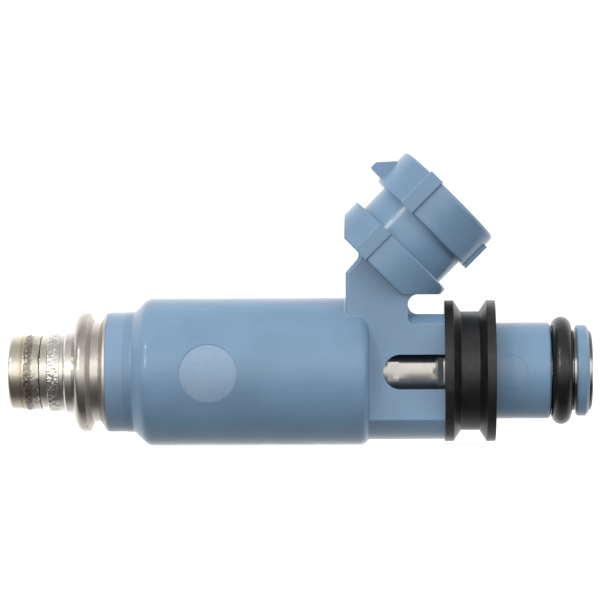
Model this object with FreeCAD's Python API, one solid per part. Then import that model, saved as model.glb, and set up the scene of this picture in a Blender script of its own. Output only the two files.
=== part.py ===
import FreeCAD, Part

import math
import os

from FreeCAD import Placement, Rotation, Vector

# A top-feed fuel injector. Its axis is +X, from the spray tip to the fuel rail, and the connector
# leans out of the +Z side. The origin is on the axis, in the plane of the stop ring's front face,
# which seats on the intake port. Lengths are in millimetres.

# Magnet and tube stack, from the axis outwards
CORE_RADIUS = 3.7  # outside of the steel fuel tube that is also the fixed core
CORE_BORE = 1.9
TUBE_STEP = 0.2  # the valve tube is this much larger in radius than the core
TUBE_WALL = 0.55
ARMATURE_CLEARANCE = 0.05  # radial, in the valve tube
BOBBIN_CLEARANCE = 0.05  # radial, round the valve tube
BOBBIN_WALL = 0.5
WINDING_DEPTH = 1.55
TAPE_THICKNESS = 0.15
BOBBIN_LIP = 0.15  # flange above the tape
YOKE_GAP = 0.2
YOKE_WALL = 0.7
COVER_WALL = 0.8  # plastic over the yoke

# Spray end, in front of the port seat
SPIGOT_LENGTH = 7.0
CAP_RADIUS = 4.0
CAP_WALL = 0.45
CAP_LENGTH = 3.4
CAP_END_WALL = 0.7
CAP_MOUTH = 1.9
CAP_CORNER = 0.4
CAP_BEAD_START = 1.6  # behind the tip
CAP_BEAD_WIDTH = 1.0
CAP_BEAD_HEIGHT = 0.15
ORIFICE_THICKNESS = 0.25
ORIFICE_COUNT = 12
ORIFICE_RADIUS = 0.12
ORIFICE_CIRCLE = 0.36
HOLDER_RADIUS = 3.9
HOLDER_BAND = 0.8
HOLDER_BORE = 2.2
SEAT_WALL = 0.55  # holder wall round the valve seat
SEAT_HOLE = 0.5
SEAT_HOLE_LENGTH = 0.45
FLOW_GROOVE_RADIUS = 0.4
FLOW_GROOVES = 4
BODY_BEAD_WIDTH = 1.4
BODY_BEAD_HEIGHT = 0.07
BODY_BEAD_ROUND = 0.3
BODY_FRONT_RADIUS = 4.2
COLLAR_RADIUS = 4.5
COLLAR_WIDTH = 1.15
COLLAR_CHAMFER = 0.3
COLLAR_BEHIND_SEAT = 6.0
BODY_FIT_WALL = 0.7  # valve body wall round the nozzle holder
THROAT_RADIUS = 2.6

# Port seat, groove and end ring
STOP_RING_RADIUS = 6.47
STOP_RING_WIDTH = 2.1
STOP_RING_FACE = 0.45  # width of the flat face that seats, outside the collar
STOP_RING_CONE = 0.633  # length of the cone round that face
STOP_RING_CORNER = 0.8
STOP_RING_CHAMFER = (0.45, 1.0)  # along the axis and in radius, at its rear
GROOVE_DEPTH = 1.02
GROOVE_WIDTH = 0.85
END_RING_WIDTH = 0.8
END_RING_CONE = 0.55
YOKE_NOSE_RADIUS = 5.9

# Moving valve
NEEDLE_LIFT = 0.08
RESIDUAL_GAP = 0.04  # armature to core at full lift
BALL_RADIUS = 1.5
BALL_CLEARANCE = 0.05
SEAT_CLEARANCE = 0.01
SEAT_GUIDE = 1.275  # guide bore behind the ball's centre
NEEDLE_RADIUS = 0.95
NEEDLE_OVERLAP = 0.75  # how far it reaches over the ball
NEEDLE_FLANGE_RADIUS = 1.9
NEEDLE_FLANGE_WIDTH = 0.8
NEEDLE_FLANGE_ROUND = 0.15
NEEDLE_TAIL_RADIUS = 1.2
STOP_PLATE_X = 3.98
STOP_PLATE_THICKNESS = 1.0
STOP_PLATE_HOLE = 1.3
STOP_PLATE_SLOT_CLEARANCE = 0.2
ARMATURE_LENGTH = 5.88
ARMATURE_FRONT_GAP = 0.5  # to the valve body's throat
ARMATURE_CORNER = 0.2
ARMATURE_HOLE_RADIUS = 0.45
ARMATURE_HOLES = 4
SPRING_POCKET_DEPTH = 1.7
SPRING_WIRE = 0.36
SPRING_LENGTH = 10.8
SPRING_TURNS = 9
SPRING_STEPS = 16  # straight runs that stand for one turn
SPRING_CLOSED_RISE = 1.02  # rise of a closed coil, in wire thicknesses
SPRING_CLEARANCE = 0.02  # at each end
SPRING_SIDE_CLEARANCE = 0.12

# Coil, yoke and terminals
YOKE_FRONT_X = 9.8  # inside face of the yoke's front wall
COIL_CLEARANCE = 0.2
COIL_LENGTH = 17.0
BOBBIN_FLANGE = 0.9
YOKE_PLATE_THICKNESS = 1.2
CORE_FRONT_X = 15.0
SLEEVE_FRONT = 2.0
SLEEVE_OVERLAP = 1.0
TERMINAL_SPACING = 4.8
TERMINAL_WIDTH = 2.2
TERMINAL_THICKNESS = 0.64
TERMINAL_HEIGHT = 1.0  # foot above the valve tube
TERMINAL_FOOT = 0.8
TERMINAL_BEND = 0.4  # inside radius of each bend
RISER_WALL = 0.68  # plastic in front of the terminals' risers
TERMINAL_TIP_S = 2.7
TERMINAL_TAPER = 0.45
LUG_MARGIN = 0.4
LUG_LENGTH = 1.0
PASSAGE_CLEARANCE = 0.1  # beside the lug, in the yoke and its plate

# Plastic body behind the port
FRONT_NECK_RADIUS = 6.55
FRONT_NECK_LENGTH = 2.85
MOULD_STEP = 0.03
MOULD_STEP_AT = 2.0
SHOULDER_ROUND = 1.4
SHOULDER_FILLET = 0.3
BODY_TAIL = 4.0  # plastic behind the yoke plate
BODY_END_ROUND = 1.1
BACK_NECK_STEP = 0.55
BACK_NECK_LENGTH = 8.15
BACK_NECK_CUT = 1.8  # top of the back neck, below the body's top
FLAT_WALL = 1.65  # plastic between the core and the neck's flats
FLAT_EDGE_ROUND = 0.3
WINDOW_HALF_HEIGHT = 1.875
WINDOW_LENGTH = 6.65
STEM_WALL = 1.55
STEM_LENGTH = 11.45
STEM_ROUND = 0.35
DISC_RADIUS = 3.135
DISC_X = 15.0
DISC_DEPTH = 0.08
STEM_DISC_RADIUS = 1.75
STEM_DISC_X = 7.15  # behind the back neck
STEM_DISC_DEPTH = 0.04

# Connector, along an axis that leans back at 45 degrees; s runs along it and t across it, downwards
CONNECTOR_LEAN = 45.0
CONNECTOR_BEHIND = 3.7  # its reference point, behind the body's end face
CONNECTOR_HEIGHT = 5.85  # and above the body
HEAD_START, HEAD_END = 2.9, 7.4
HEAD_HALF_HEIGHT = 6.6
HEAD_RISE = 0.17  # the head's middle is this far above the connector's axis
KEY_HALF_WIDTH = 2.5
KEY_END = 6.12
KEY_REACH = 6.74  # its underside, below the connector's axis
KEY_EDGE_ROUND = 0.15
COLLAR_HALF_HEIGHT = 6.74
BARREL_START = -0.25
BARREL_HALF_HEIGHT = 5.7
COLLAR_START = -4.1
STADIUM_OFFSET = 1.26  # half the straight part of each section
CONNECTOR_EDGE_ROUND = 0.4
CONNECTOR_EDGE_BREAK = 0.25
SOCKET_HALF_HEIGHT = 4.6
SOCKET_FLOOR = -2.0
SOCKET_EDGE_ROUND = 0.3
RIB_LOW, RIB_HIGH = -1.47, -3.2
SHELL_OVERLAP = 0.3  # of the barrel in the head and the collar
RIB_HALF_SPAN = 8.08
RIB_AHEAD = 0.15
RIB_ROOT = 1.4  # depth of its foot in the head
RIB_EDGE_ROUND = 0.15
LOCK_HALF_WIDTH = 2.5
LOCK_RISE = 1.5
LOCK_ROOT = 0.4  # depth of its foot in the head
LOCK_EDGE_ROUND = 0.2
LOCK_FRONT, LOCK_CREST, LOCK_BACK = 5.85, 4.2, 3.35
WEB_LEFT = 6.2
WEB_SHOULDER = (4.9, 1.65)
WEB_SHOULDER_SLANT = 0.4
WEB_STEP = 3.15
WEB_PROFILE_ROUND = 0.3
WEB_EDGE_ROUND = 0.45
WEB_CORNER_ROUND = 0.8  # where its rear edge runs into the neck's flat
WEB_FOOT_FILLET = 0.3
WEB_COLLAR_FILLET = 0.5
WEB_RIM = 1.0  # how far the web's top runs along the collar's rear face
COLLAR_CLIP_LEFT = 6.3
NOTCH_HEIGHT = 2.13
NOTCH_BEHIND = 1.56

# Rail end
GROMMET_WIDTH = 5.5
GROMMET_FLANGE = 0.95
GROMMET_SLOPE = 0.8
GROMMET_WAIST = 1.21  # rubber on the stem at the waist
GROMMET_LIP = 1.21  # flange above the waist
GROMMET_EDGE_ROUND = 0.1
GROMMET_WAIST_FILLET = 0.2
ORING_SECTION = 2.18
ORING_SIDE_GAP = 0.11
LIP_HEIGHT = 0.68
LIP_WIDTH = 2.1
LIP_ROUND = 0.45
LIP_FRONT_ROUND = 0.12
RETAINER_WIDTH = 1.35
RETAINER_IN_LIP = 0.35
RETAINER_HEIGHT = 0.59
RETAINER_GROOVE = 0.38
RETAINER_CORNER = 0.3
RETAINER_CHAMFER = 0.3
INLET_BORE = 2.9
INLET_DEPTH = 10.8
INLET_CHAMFER = 0.3
ADJUSTER_LENGTH = 17.0
ADJUSTER_BORE = 1.2
FILTER_INSET = 1.9
FILTER_LENGTH = 8.4
FILTER_RING = 2.0
FILTER_RING_CONE = 0.4
FILTER_FLOOR = 0.8
FILTER_CLEARANCE = 0.05
FILTER_RIB_WIDTH = 0.6
FILTER_RIB_DEPTH = 0.4
MESH_RADIUS = 2.0
MESH_THICKNESS = 0.1
CRIMP_FLAT_STARTS = (0.9, 5.65)  # behind the window's front end
CRIMP_FLAT_LENGTHS = (1.34, 1.05)
CRIMP_FLAT_DEPTHS = (0.19, 0.40)

# Radii that follow from the stack
TUBE_RADIUS = CORE_RADIUS + TUBE_STEP
TUBE_BORE = TUBE_RADIUS - TUBE_WALL
ARMATURE_RADIUS = TUBE_BORE - ARMATURE_CLEARANCE
BOBBIN_BORE = TUBE_RADIUS + BOBBIN_CLEARANCE
BARREL_RADIUS = BOBBIN_BORE + BOBBIN_WALL
WINDING_RADIUS = BARREL_RADIUS + WINDING_DEPTH
TAPE_RADIUS = WINDING_RADIUS + TAPE_THICKNESS
BOBBIN_RADIUS = TAPE_RADIUS + BOBBIN_LIP
YOKE_BORE = BOBBIN_RADIUS + YOKE_GAP
YOKE_RADIUS = YOKE_BORE + YOKE_WALL
BODY_RADIUS = YOKE_RADIUS + COVER_WALL
BACK_NECK_RADIUS = BODY_RADIUS - BACK_NECK_STEP
FLAT_HALF_WIDTH = CORE_RADIUS + FLAT_WALL
STEM_RADIUS = CORE_RADIUS + STEM_WALL
LIP_RADIUS = CORE_RADIUS + LIP_HEIGHT
RETAINER_RADIUS = LIP_RADIUS + RETAINER_HEIGHT
NECK_TOP = BODY_RADIUS - BACK_NECK_CUT
COLLAR_BOTTOM = NECK_TOP + NOTCH_HEIGHT
HOLDER_FIT_RADIUS = BODY_FRONT_RADIUS - BODY_FIT_WALL
CAP_BORE = CAP_RADIUS - CAP_WALL
SEAT_RADIUS = CAP_BORE - SEAT_WALL

# Stations along the axis
TIP_X = -SPIGOT_LENGTH
CAP_BACK_X = TIP_X + CAP_LENGTH
ORIFICE_X = TIP_X + CAP_END_WALL
SEAT_X = ORIFICE_X + ORIFICE_THICKNESS
HOLDER_STEP_X = CAP_BACK_X + HOLDER_BAND
CONE_X = SEAT_X + SEAT_HOLE_LENGTH
BALL_X = CONE_X - SEAT_HOLE + (BALL_RADIUS + SEAT_CLEARANCE) * math.sqrt(2)
GUIDE_RADIUS = BALL_RADIUS + BALL_CLEARANCE
SEAT_BACK_X = BALL_X + SEAT_GUIDE
NEEDLE_FLANGE_X = STOP_PLATE_X - NEEDLE_LIFT - NEEDLE_FLANGE_WIDTH
STOP_PLATE_BACK_X = STOP_PLATE_X + STOP_PLATE_THICKNESS
ARMATURE_BACK_X = CORE_FRONT_X - NEEDLE_LIFT - RESIDUAL_GAP
ARMATURE_X = ARMATURE_BACK_X - ARMATURE_LENGTH
SPRING_FRONT_X = ARMATURE_BACK_X - SPRING_POCKET_DEPTH
ADJUSTER_X = SPRING_FRONT_X + SPRING_LENGTH
GROOVE_X = STOP_RING_WIDTH
END_RING_X = GROOVE_X + GROOVE_WIDTH
COVER_X = END_RING_X + END_RING_WIDTH
SHOULDER_X = COVER_X + FRONT_NECK_LENGTH
BODY_FULL_X = SHOULDER_X + BODY_RADIUS - FRONT_NECK_RADIUS
COIL_X = YOKE_FRONT_X + COIL_CLEARANCE
COIL_BACK_X = COIL_X + COIL_LENGTH
YOKE_BACK_X = COIL_BACK_X + YOKE_PLATE_THICKNESS
BODY_END_X = YOKE_BACK_X + BODY_TAIL
NECK_END_X = BODY_END_X + BACK_NECK_LENGTH
WINDOW_X = NECK_END_X - WINDOW_LENGTH
GROMMET_BACK_X = NECK_END_X + GROMMET_WIDTH
STEM_END_X = NECK_END_X + STEM_LENGTH
ORING_X = STEM_END_X + ORING_SIDE_GAP + ORING_SECTION / 2
LIP_X = ORING_X + ORING_SECTION / 2 + ORING_SIDE_GAP
INLET_END_X = LIP_X + LIP_WIDTH
TERMINAL_Z = TUBE_RADIUS + TERMINAL_HEIGHT
CONNECTOR_X = BODY_END_X + CONNECTOR_BEHIND
CONNECTOR_Z = BODY_RADIUS + CONNECTOR_HEIGHT
NOTCH_FRONT_X = CONNECTOR_X + NOTCH_BEHIND - NOTCH_HEIGHT / 2

EDGE_BREAK = 0.1  # small rounding of an edge that isn't named above
AXIS = Vector(1, 0, 0)
ACROSS = Vector(0, 1, 0)
UP = Vector(0, 0, 1)
ORIGIN = Vector(0, 0, 0)
REACH = 60.0  # longer than any piece it cuts
IN_CONNECTOR = Placement(Vector(CONNECTOR_X, 0, CONNECTOR_Z), Rotation(ACROSS, CONNECTOR_LEAN))


def outline(corners):
    """Closed wire in the XZ plane through corners (x, z) or (x, z, radius of a rounded corner)."""
    points = [Vector(c[0], 0, c[1]) for c in corners]
    starts, ends, arcs = [], [], []
    for i, corner in enumerate(corners):
        here = points[i]
        radius = corner[2] if len(corner) == 3 else 0.0
        if radius == 0.0:
            starts.append(here)
            ends.append(here)
            arcs.append(None)
            continue
        back = (points[i - 1] - here).normalize()
        ahead = (points[(i + 1) % len(points)] - here).normalize()
        half = back.getAngle(ahead) / 2
        middle = (back + ahead).normalize()
        centre = here + middle * (radius / math.sin(half))
        starts.append(here + back * (radius / math.tan(half)))
        ends.append(here + ahead * (radius / math.tan(half)))
        arcs.append(Part.Arc(starts[-1], centre - middle * radius, ends[-1]).toShape())
    edges = []
    for i in range(len(points)):
        if arcs[i]:
            edges.append(arcs[i])
        target = starts[(i + 1) % len(points)]
        if ends[i].distanceToPoint(target) > 1e-6:
            edges.append(Part.makeLine(ends[i], target))
    return Part.Wire(edges)


def solid_of(shape):
    """The shape with its faces pointing outwards."""
    if shape.Volume < 0:
        shape.reverse()
    return shape


def turned(corners):
    """Solid of revolution about the injector's axis, from corners (x, radius[, corner radius])."""
    return solid_of(Part.Face(outline(corners)).revolve(ORIGIN, AXIS, 360))


def ring(x_start, x_end, outer, inner=0.0):
    """Plain disc or tube on the injector's axis."""
    return turned([(x_start, inner), (x_start, outer), (x_end, outer), (x_end, inner)])


def slab(corners, half_width, centre_y=0.0):
    """Plate with the given XZ outline, extruded across the injector."""
    face = Part.Face(outline(corners))
    face.translate(Vector(0, centre_y - half_width, 0))
    return solid_of(face.extrude(ACROSS * (2 * half_width)))


def block(x_low, x_high, y_low, y_high, z_low, z_high):
    """Box between two corners."""
    return Part.makeBox(x_high - x_low, y_high - y_low, z_high - z_low, Vector(x_low, y_low, z_low))


def round_rod(radius, x_start, x_end, y, z):
    """Rod parallel to the injector's axis, for a hole beside it."""
    return Part.makeCylinder(radius, x_end - x_start, Vector(x_start, y, z), AXIS)


def around(count, radius, first=0.0):
    """Evenly spaced (y, z) places on a circle."""
    steps = [math.radians(first + 360.0 * i / count) for i in range(count)]
    return [(radius * math.cos(a), radius * math.sin(a)) for a in steps]


def nozzle_cap():
    """Thin cup over the nozzle, with the ring of weld that holds it."""
    bead_x = TIP_X + CAP_BEAD_START
    bead_end_x = bead_x + CAP_BEAD_WIDTH
    bead = CAP_RADIUS + CAP_BEAD_HEIGHT
    return turned([
        (TIP_X, CAP_MOUTH, CAP_CORNER / 2),
        (TIP_X, CAP_RADIUS, CAP_CORNER),
        (bead_x, CAP_RADIUS),
        (bead_x + CAP_BEAD_HEIGHT, bead, CAP_BEAD_HEIGHT),
        (bead_end_x - CAP_BEAD_HEIGHT, bead, CAP_BEAD_HEIGHT),
        (bead_end_x, CAP_RADIUS),
        (CAP_BACK_X, CAP_RADIUS),
        (CAP_BACK_X, CAP_BORE),
        (ORIFICE_X, CAP_BORE),
        (ORIFICE_X, CAP_MOUTH),
    ])


def orifice_plate():
    """Disc with a ring of metering holes, clamped between the cap and the valve seat."""
    plate = ring(ORIFICE_X, SEAT_X, CAP_BORE)
    holes = [round_rod(ORIFICE_RADIUS, ORIFICE_X, SEAT_X, y, z)
             for y, z in around(ORIFICE_COUNT, ORIFICE_CIRCLE + ORIFICE_RADIUS * 2)]
    return plate.cut(holes)


def valve_seat():
    """Hardened seat: outlet hole, 90-degree cone, and a ball guide with flow grooves."""
    cone_back_x = CONE_X + GUIDE_RADIUS - SEAT_HOLE
    seat = turned([
        (SEAT_X, SEAT_HOLE),
        (SEAT_X, SEAT_RADIUS),
        (SEAT_BACK_X, SEAT_RADIUS),
        (SEAT_BACK_X, GUIDE_RADIUS),
        (cone_back_x, GUIDE_RADIUS),
        (CONE_X, SEAT_HOLE),
    ])
    grooves = [round_rod(FLOW_GROOVE_RADIUS, cone_back_x, SEAT_BACK_X, y, z)
               for y, z in around(FLOW_GROOVES, GUIDE_RADIUS)]
    return seat.cut(grooves)


def nozzle_holder():
    """Tube that carries the valve seat, under the cap in front and inside the valve body behind."""
    return turned([
        (SEAT_X, SEAT_RADIUS),
        (SEAT_X, CAP_BORE),
        (CAP_BACK_X, CAP_BORE),
        (CAP_BACK_X, HOLDER_RADIUS, EDGE_BREAK),
        (HOLDER_STEP_X, HOLDER_RADIUS),
        (HOLDER_STEP_X, HOLDER_FIT_RADIUS),
        (STOP_PLATE_X, HOLDER_FIT_RADIUS),
        (STOP_PLATE_X, HOLDER_BORE),
        (SEAT_BACK_X, HOLDER_BORE),
        (SEAT_BACK_X, SEAT_RADIUS),
    ])


def valve_body():
    """Stepped steel tube from the weld behind the nozzle holder to the non-magnetic sleeve."""
    bead = BODY_FRONT_RADIUS + BODY_BEAD_HEIGHT
    bead_end_x = HOLDER_STEP_X + BODY_BEAD_WIDTH
    return turned([
        (HOLDER_STEP_X, HOLDER_FIT_RADIUS),
        (HOLDER_STEP_X, bead, BODY_BEAD_ROUND),
        (bead_end_x, bead),
        (bead_end_x + BODY_BEAD_HEIGHT, BODY_FRONT_RADIUS),
        (-COLLAR_WIDTH, BODY_FRONT_RADIUS),
        (-COLLAR_WIDTH, COLLAR_RADIUS - COLLAR_CHAMFER),
        (-COLLAR_WIDTH + COLLAR_CHAMFER, COLLAR_RADIUS),
        (COLLAR_BEHIND_SEAT, COLLAR_RADIUS),
        (COLLAR_BEHIND_SEAT, TUBE_RADIUS),
        (CORE_FRONT_X - SLEEVE_FRONT, TUBE_RADIUS),
        (CORE_FRONT_X - SLEEVE_FRONT, TUBE_BORE),
        (ARMATURE_X - ARMATURE_FRONT_GAP, TUBE_BORE),
        (ARMATURE_X - ARMATURE_FRONT_GAP, THROAT_RADIUS),
        (STOP_PLATE_BACK_X, THROAT_RADIUS),
        (STOP_PLATE_BACK_X, HOLDER_FIT_RADIUS),
    ])


def stop_ring():
    """Steel ring on the valve body; its front face seats on the port."""
    return turned([
        (0, COLLAR_RADIUS),
        (0, COLLAR_RADIUS + STOP_RING_FACE, EDGE_BREAK),
        (STOP_RING_CONE, STOP_RING_RADIUS, STOP_RING_CORNER),
        (STOP_RING_WIDTH - STOP_RING_CHAMFER[0], STOP_RING_RADIUS),
        (STOP_RING_WIDTH, STOP_RING_RADIUS - STOP_RING_CHAMFER[1]),
        (STOP_RING_WIDTH, COLLAR_RADIUS),
    ])


def yoke_housing():
    """Steel shell round the coil, whose nose shows in the groove and as the plastic's end ring."""
    groove = STOP_RING_RADIUS - GROOVE_DEPTH
    nose_back_x = SHOULDER_X + COVER_WALL
    yoke_full_x = nose_back_x + YOKE_RADIUS - YOKE_NOSE_RADIUS
    shell = turned([
        (GROOVE_X, COLLAR_RADIUS),
        (GROOVE_X, groove),
        (END_RING_X, groove),
        (END_RING_X + END_RING_CONE, STOP_RING_RADIUS, EDGE_BREAK),
        (COVER_X, STOP_RING_RADIUS),
        (COVER_X, YOKE_NOSE_RADIUS),
        (nose_back_x, YOKE_NOSE_RADIUS),
        (yoke_full_x, YOKE_RADIUS),
        (YOKE_BACK_X, YOKE_RADIUS),
        (YOKE_BACK_X, YOKE_BORE),
        (YOKE_FRONT_X, YOKE_BORE),
        (YOKE_FRONT_X, TUBE_RADIUS),
        (COLLAR_BEHIND_SEAT, TUBE_RADIUS),
        (COLLAR_BEHIND_SEAT, COLLAR_RADIUS),
    ])
    return shell.cut(terminal_passage(COIL_BACK_X - BOBBIN_FLANGE))


def terminal_passage(x_start):
    """Space over the terminals' feet, cut out of the yoke and its rear plate."""
    half_width = TERMINAL_SPACING / 2 + TERMINAL_WIDTH / 2 + LUG_MARGIN + PASSAGE_CLEARANCE
    bottom = TERMINAL_Z - TERMINAL_THICKNESS / 2 - LUG_MARGIN / 2 - PASSAGE_CLEARANCE / 2
    return block(x_start, YOKE_BACK_X, -half_width, half_width, bottom, YOKE_RADIUS + 1)


def yoke_plate():
    """Washer that closes the magnetic circuit behind the coil."""
    plate = ring(COIL_BACK_X, YOKE_BACK_X, YOKE_BORE, CORE_RADIUS)
    return plate.cut(terminal_passage(COIL_BACK_X))


def valve_ball():
    """Ball that closes the seat."""
    ball = Part.makeSphere(BALL_RADIUS)
    ball.rotate(ORIGIN, ACROSS, 90)
    ball.translate(Vector(BALL_X, 0, 0))
    return ball


def valve_needle():
    """Stem from the ball to the armature, with the flange that meets the stop plate."""
    front_x = BALL_X + BALL_RADIUS - NEEDLE_OVERLAP
    flange_end_x = NEEDLE_FLANGE_X + NEEDLE_FLANGE_WIDTH
    stem = turned([
        (front_x, 0),
        (front_x, NEEDLE_RADIUS),
        (NEEDLE_FLANGE_X, NEEDLE_RADIUS),
        (NEEDLE_FLANGE_X, NEEDLE_FLANGE_RADIUS, NEEDLE_FLANGE_ROUND),
        (flange_end_x, NEEDLE_FLANGE_RADIUS),
        (flange_end_x, NEEDLE_RADIUS),
        (ARMATURE_X, NEEDLE_RADIUS),
        (ARMATURE_X, NEEDLE_TAIL_RADIUS),
        (SPRING_FRONT_X, NEEDLE_TAIL_RADIUS),
        (SPRING_FRONT_X, 0),
    ])
    return stem.cut(valve_ball())


def armature():
    """Moving iron pressed on the needle, with a spring pocket and fuel holes."""
    iron = turned([
        (ARMATURE_X, NEEDLE_TAIL_RADIUS),
        (ARMATURE_X, ARMATURE_RADIUS, ARMATURE_CORNER),
        (ARMATURE_BACK_X, ARMATURE_RADIUS),
        (ARMATURE_BACK_X, CORE_BORE),
        (SPRING_FRONT_X, CORE_BORE),
        (SPRING_FRONT_X, NEEDLE_TAIL_RADIUS),
    ])
    circle = (ARMATURE_RADIUS + CORE_BORE) / 2
    holes = [round_rod(ARMATURE_HOLE_RADIUS, ARMATURE_X, ARMATURE_BACK_X, y, z)
             for y, z in around(ARMATURE_HOLES, circle, 45)]
    return iron.cut(holes)


def lift_stop_plate():
    """Slotted plate between the nozzle holder and the valve body that limits the needle's lift."""
    plate = ring(STOP_PLATE_X, STOP_PLATE_BACK_X, HOLDER_FIT_RADIUS, STOP_PLATE_HOLE)
    half_slot = NEEDLE_RADIUS + STOP_PLATE_SLOT_CLEARANCE
    return plate.cut(block(STOP_PLATE_X, STOP_PLATE_BACK_X, 0, REACH, -half_slot, half_slot))


def nonmagnetic_sleeve():
    """Sleeve that joins the valve body to the core and keeps the flux out of its wall."""
    return ring(CORE_FRONT_X - SLEEVE_FRONT, CORE_FRONT_X + SLEEVE_OVERLAP, TUBE_RADIUS, TUBE_BORE)


def inlet_core():
    """Fixed core and fuel tube in one, with the crimp flats and the lip that holds the O-ring."""
    groove_x = LIP_X + RETAINER_IN_LIP
    groove_end_x = groove_x + RETAINER_WIDTH
    groove = LIP_RADIUS - RETAINER_GROOVE
    tube = turned([
        (CORE_FRONT_X, CORE_BORE),
        (CORE_FRONT_X, TUBE_BORE),
        (CORE_FRONT_X + SLEEVE_OVERLAP, TUBE_BORE),
        (CORE_FRONT_X + SLEEVE_OVERLAP, CORE_RADIUS),
        (LIP_X, CORE_RADIUS),
        (LIP_X, LIP_RADIUS, LIP_FRONT_ROUND),
        (groove_x, LIP_RADIUS),
        (groove_x, groove),
        (groove_end_x, groove),
        (groove_end_x, LIP_RADIUS),
        (INLET_END_X, LIP_RADIUS, min(LIP_ROUND, LIP_WIDTH - RETAINER_IN_LIP - RETAINER_WIDTH)),
        (INLET_END_X, INLET_BORE + INLET_CHAMFER),
        (INLET_END_X - INLET_CHAMFER, INLET_BORE),
        (INLET_END_X - INLET_DEPTH, INLET_BORE),
        (INLET_END_X - INLET_DEPTH - (INLET_BORE - CORE_BORE), CORE_BORE),
    ])
    return tube.cut(crimp_cutters())


def crimp_cutters():
    """Wedges that leave the sloping crimp flats on both sides of the core, inside the windows."""
    cutters = []
    for start, length, depth in zip(CRIMP_FLAT_STARTS, CRIMP_FLAT_LENGTHS, CRIMP_FLAT_DEPTHS):
        deep_first = start == CRIMP_FLAT_STARTS[0]
        x_low = WINDOW_X + start
        x_deep = x_low if deep_first else x_low + length
        x_shallow = x_low + length if deep_first else x_low
        wedge = slab([(x_shallow, CORE_RADIUS), (x_deep, CORE_RADIUS - depth),
                      (x_deep, CORE_RADIUS + 1), (x_shallow, CORE_RADIUS + 1)], CORE_RADIUS)
        for turn in (90, -90):
            side = wedge.copy()
            side.rotate(ORIGIN, AXIS, turn)
            cutters.append(side)
    return cutters


def return_spring():
    """Coil spring between the armature's pocket and the adjusting tube, with a closed coil at each end."""
    mean_radius = CORE_BORE - SPRING_SIDE_CLEARANCE - SPRING_WIRE / 2
    x_start = SPRING_FRONT_X + SPRING_CLEARANCE + SPRING_WIRE / 2
    height = SPRING_LENGTH - 2 * SPRING_CLEARANCE - SPRING_WIRE
    active = SPRING_TURNS - 2
    closed_rise = SPRING_WIRE * SPRING_CLOSED_RISE
    active_rise = (height - 2 * closed_rise) / active

    def rise(turn):
        open_part = min(max(turn - 1, 0), active)
        return active_rise * open_part + closed_rise * (turn - open_part)

    turns = [i / SPRING_STEPS for i in range(SPRING_TURNS * SPRING_STEPS + 1)]
    points = [Vector(x_start + rise(t), mean_radius * math.cos(2 * math.pi * t),
                     mean_radius * math.sin(2 * math.pi * t)) for t in turns]
    section = Part.Wire(Part.makeCircle(SPRING_WIRE / 2, points[0], points[1] - points[0]))
    mitred = 1
    return solid_of(Part.makePolygon(points).makePipeShell([section], True, False, mitred))


def adjusting_tube():
    """Tube pressed into the core that sets the spring's load."""
    return ring(ADJUSTER_X, ADJUSTER_X + ADJUSTER_LENGTH, CORE_BORE, ADJUSTER_BORE)


def filter_frame():
    """Moulded basket of the inlet filter: entry ring, four ribs and floor."""
    x_end = INLET_END_X - FILTER_INSET
    ring_x = x_end - FILTER_RING
    x_start = x_end - FILTER_LENGTH
    outer = MESH_RADIUS + FILTER_RIB_DEPTH
    basket = turned([
        (x_start, 0),
        (x_start, outer, EDGE_BREAK),
        (ring_x, outer),
        (ring_x + FILTER_RING_CONE, INLET_BORE - FILTER_CLEARANCE),
        (x_end, INLET_BORE - FILTER_CLEARANCE, EDGE_BREAK),
        (x_end, MESH_RADIUS - MESH_THICKNESS),
        (ring_x, MESH_RADIUS - MESH_THICKNESS),
        (ring_x, MESH_RADIUS),
        (x_start + FILTER_FLOOR, MESH_RADIUS),
        (x_start + FILTER_FLOOR, 0),
    ])
    half_opening = outer * math.sin(math.radians(45) - FILTER_RIB_WIDTH / outer / 2)
    across_z = block(x_start + FILTER_FLOOR, ring_x, -half_opening, half_opening, -REACH, REACH)
    across_y = block(x_start + FILTER_FLOOR, ring_x, -REACH, REACH, -half_opening, half_opening)
    return basket.cut([across_z, across_y])


def filter_mesh():
    """Fine screen held by the basket."""
    x_end = INLET_END_X - FILTER_INSET - FILTER_RING
    x_start = INLET_END_X - FILTER_INSET - FILTER_LENGTH + FILTER_FLOOR
    return ring(x_start, x_end, MESH_RADIUS, MESH_RADIUS - MESH_THICKNESS)


def coil_bobbin():
    """Plastic spool of the coil, with a lug behind that holds the terminals."""
    half_width = TERMINAL_SPACING / 2 + TERMINAL_WIDTH / 2 + LUG_MARGIN
    half_height = TERMINAL_THICKNESS / 2 + LUG_MARGIN / 2
    spool = turned([
        (COIL_X, BOBBIN_BORE),
        (COIL_X, BOBBIN_RADIUS),
        (COIL_X + BOBBIN_FLANGE, BOBBIN_RADIUS),
        (COIL_X + BOBBIN_FLANGE, BARREL_RADIUS),
        (COIL_BACK_X - BOBBIN_FLANGE, BARREL_RADIUS),
        (COIL_BACK_X - BOBBIN_FLANGE, BOBBIN_RADIUS),
        (COIL_BACK_X, BOBBIN_RADIUS),
        (COIL_BACK_X, BOBBIN_BORE),
    ])
    lug = block(COIL_BACK_X - BOBBIN_FLANGE / 2, COIL_BACK_X + LUG_LENGTH, -half_width, half_width,
                TERMINAL_Z - half_height, TERMINAL_Z + half_height)
    return spool.fuse(lug).cut([terminal(-1), terminal(1)]).removeSplitter()


def coil_winding():
    """Copper winding as one closed ring."""
    return ring(COIL_X + BOBBIN_FLANGE, COIL_BACK_X - BOBBIN_FLANGE, WINDING_RADIUS, BARREL_RADIUS)


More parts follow.
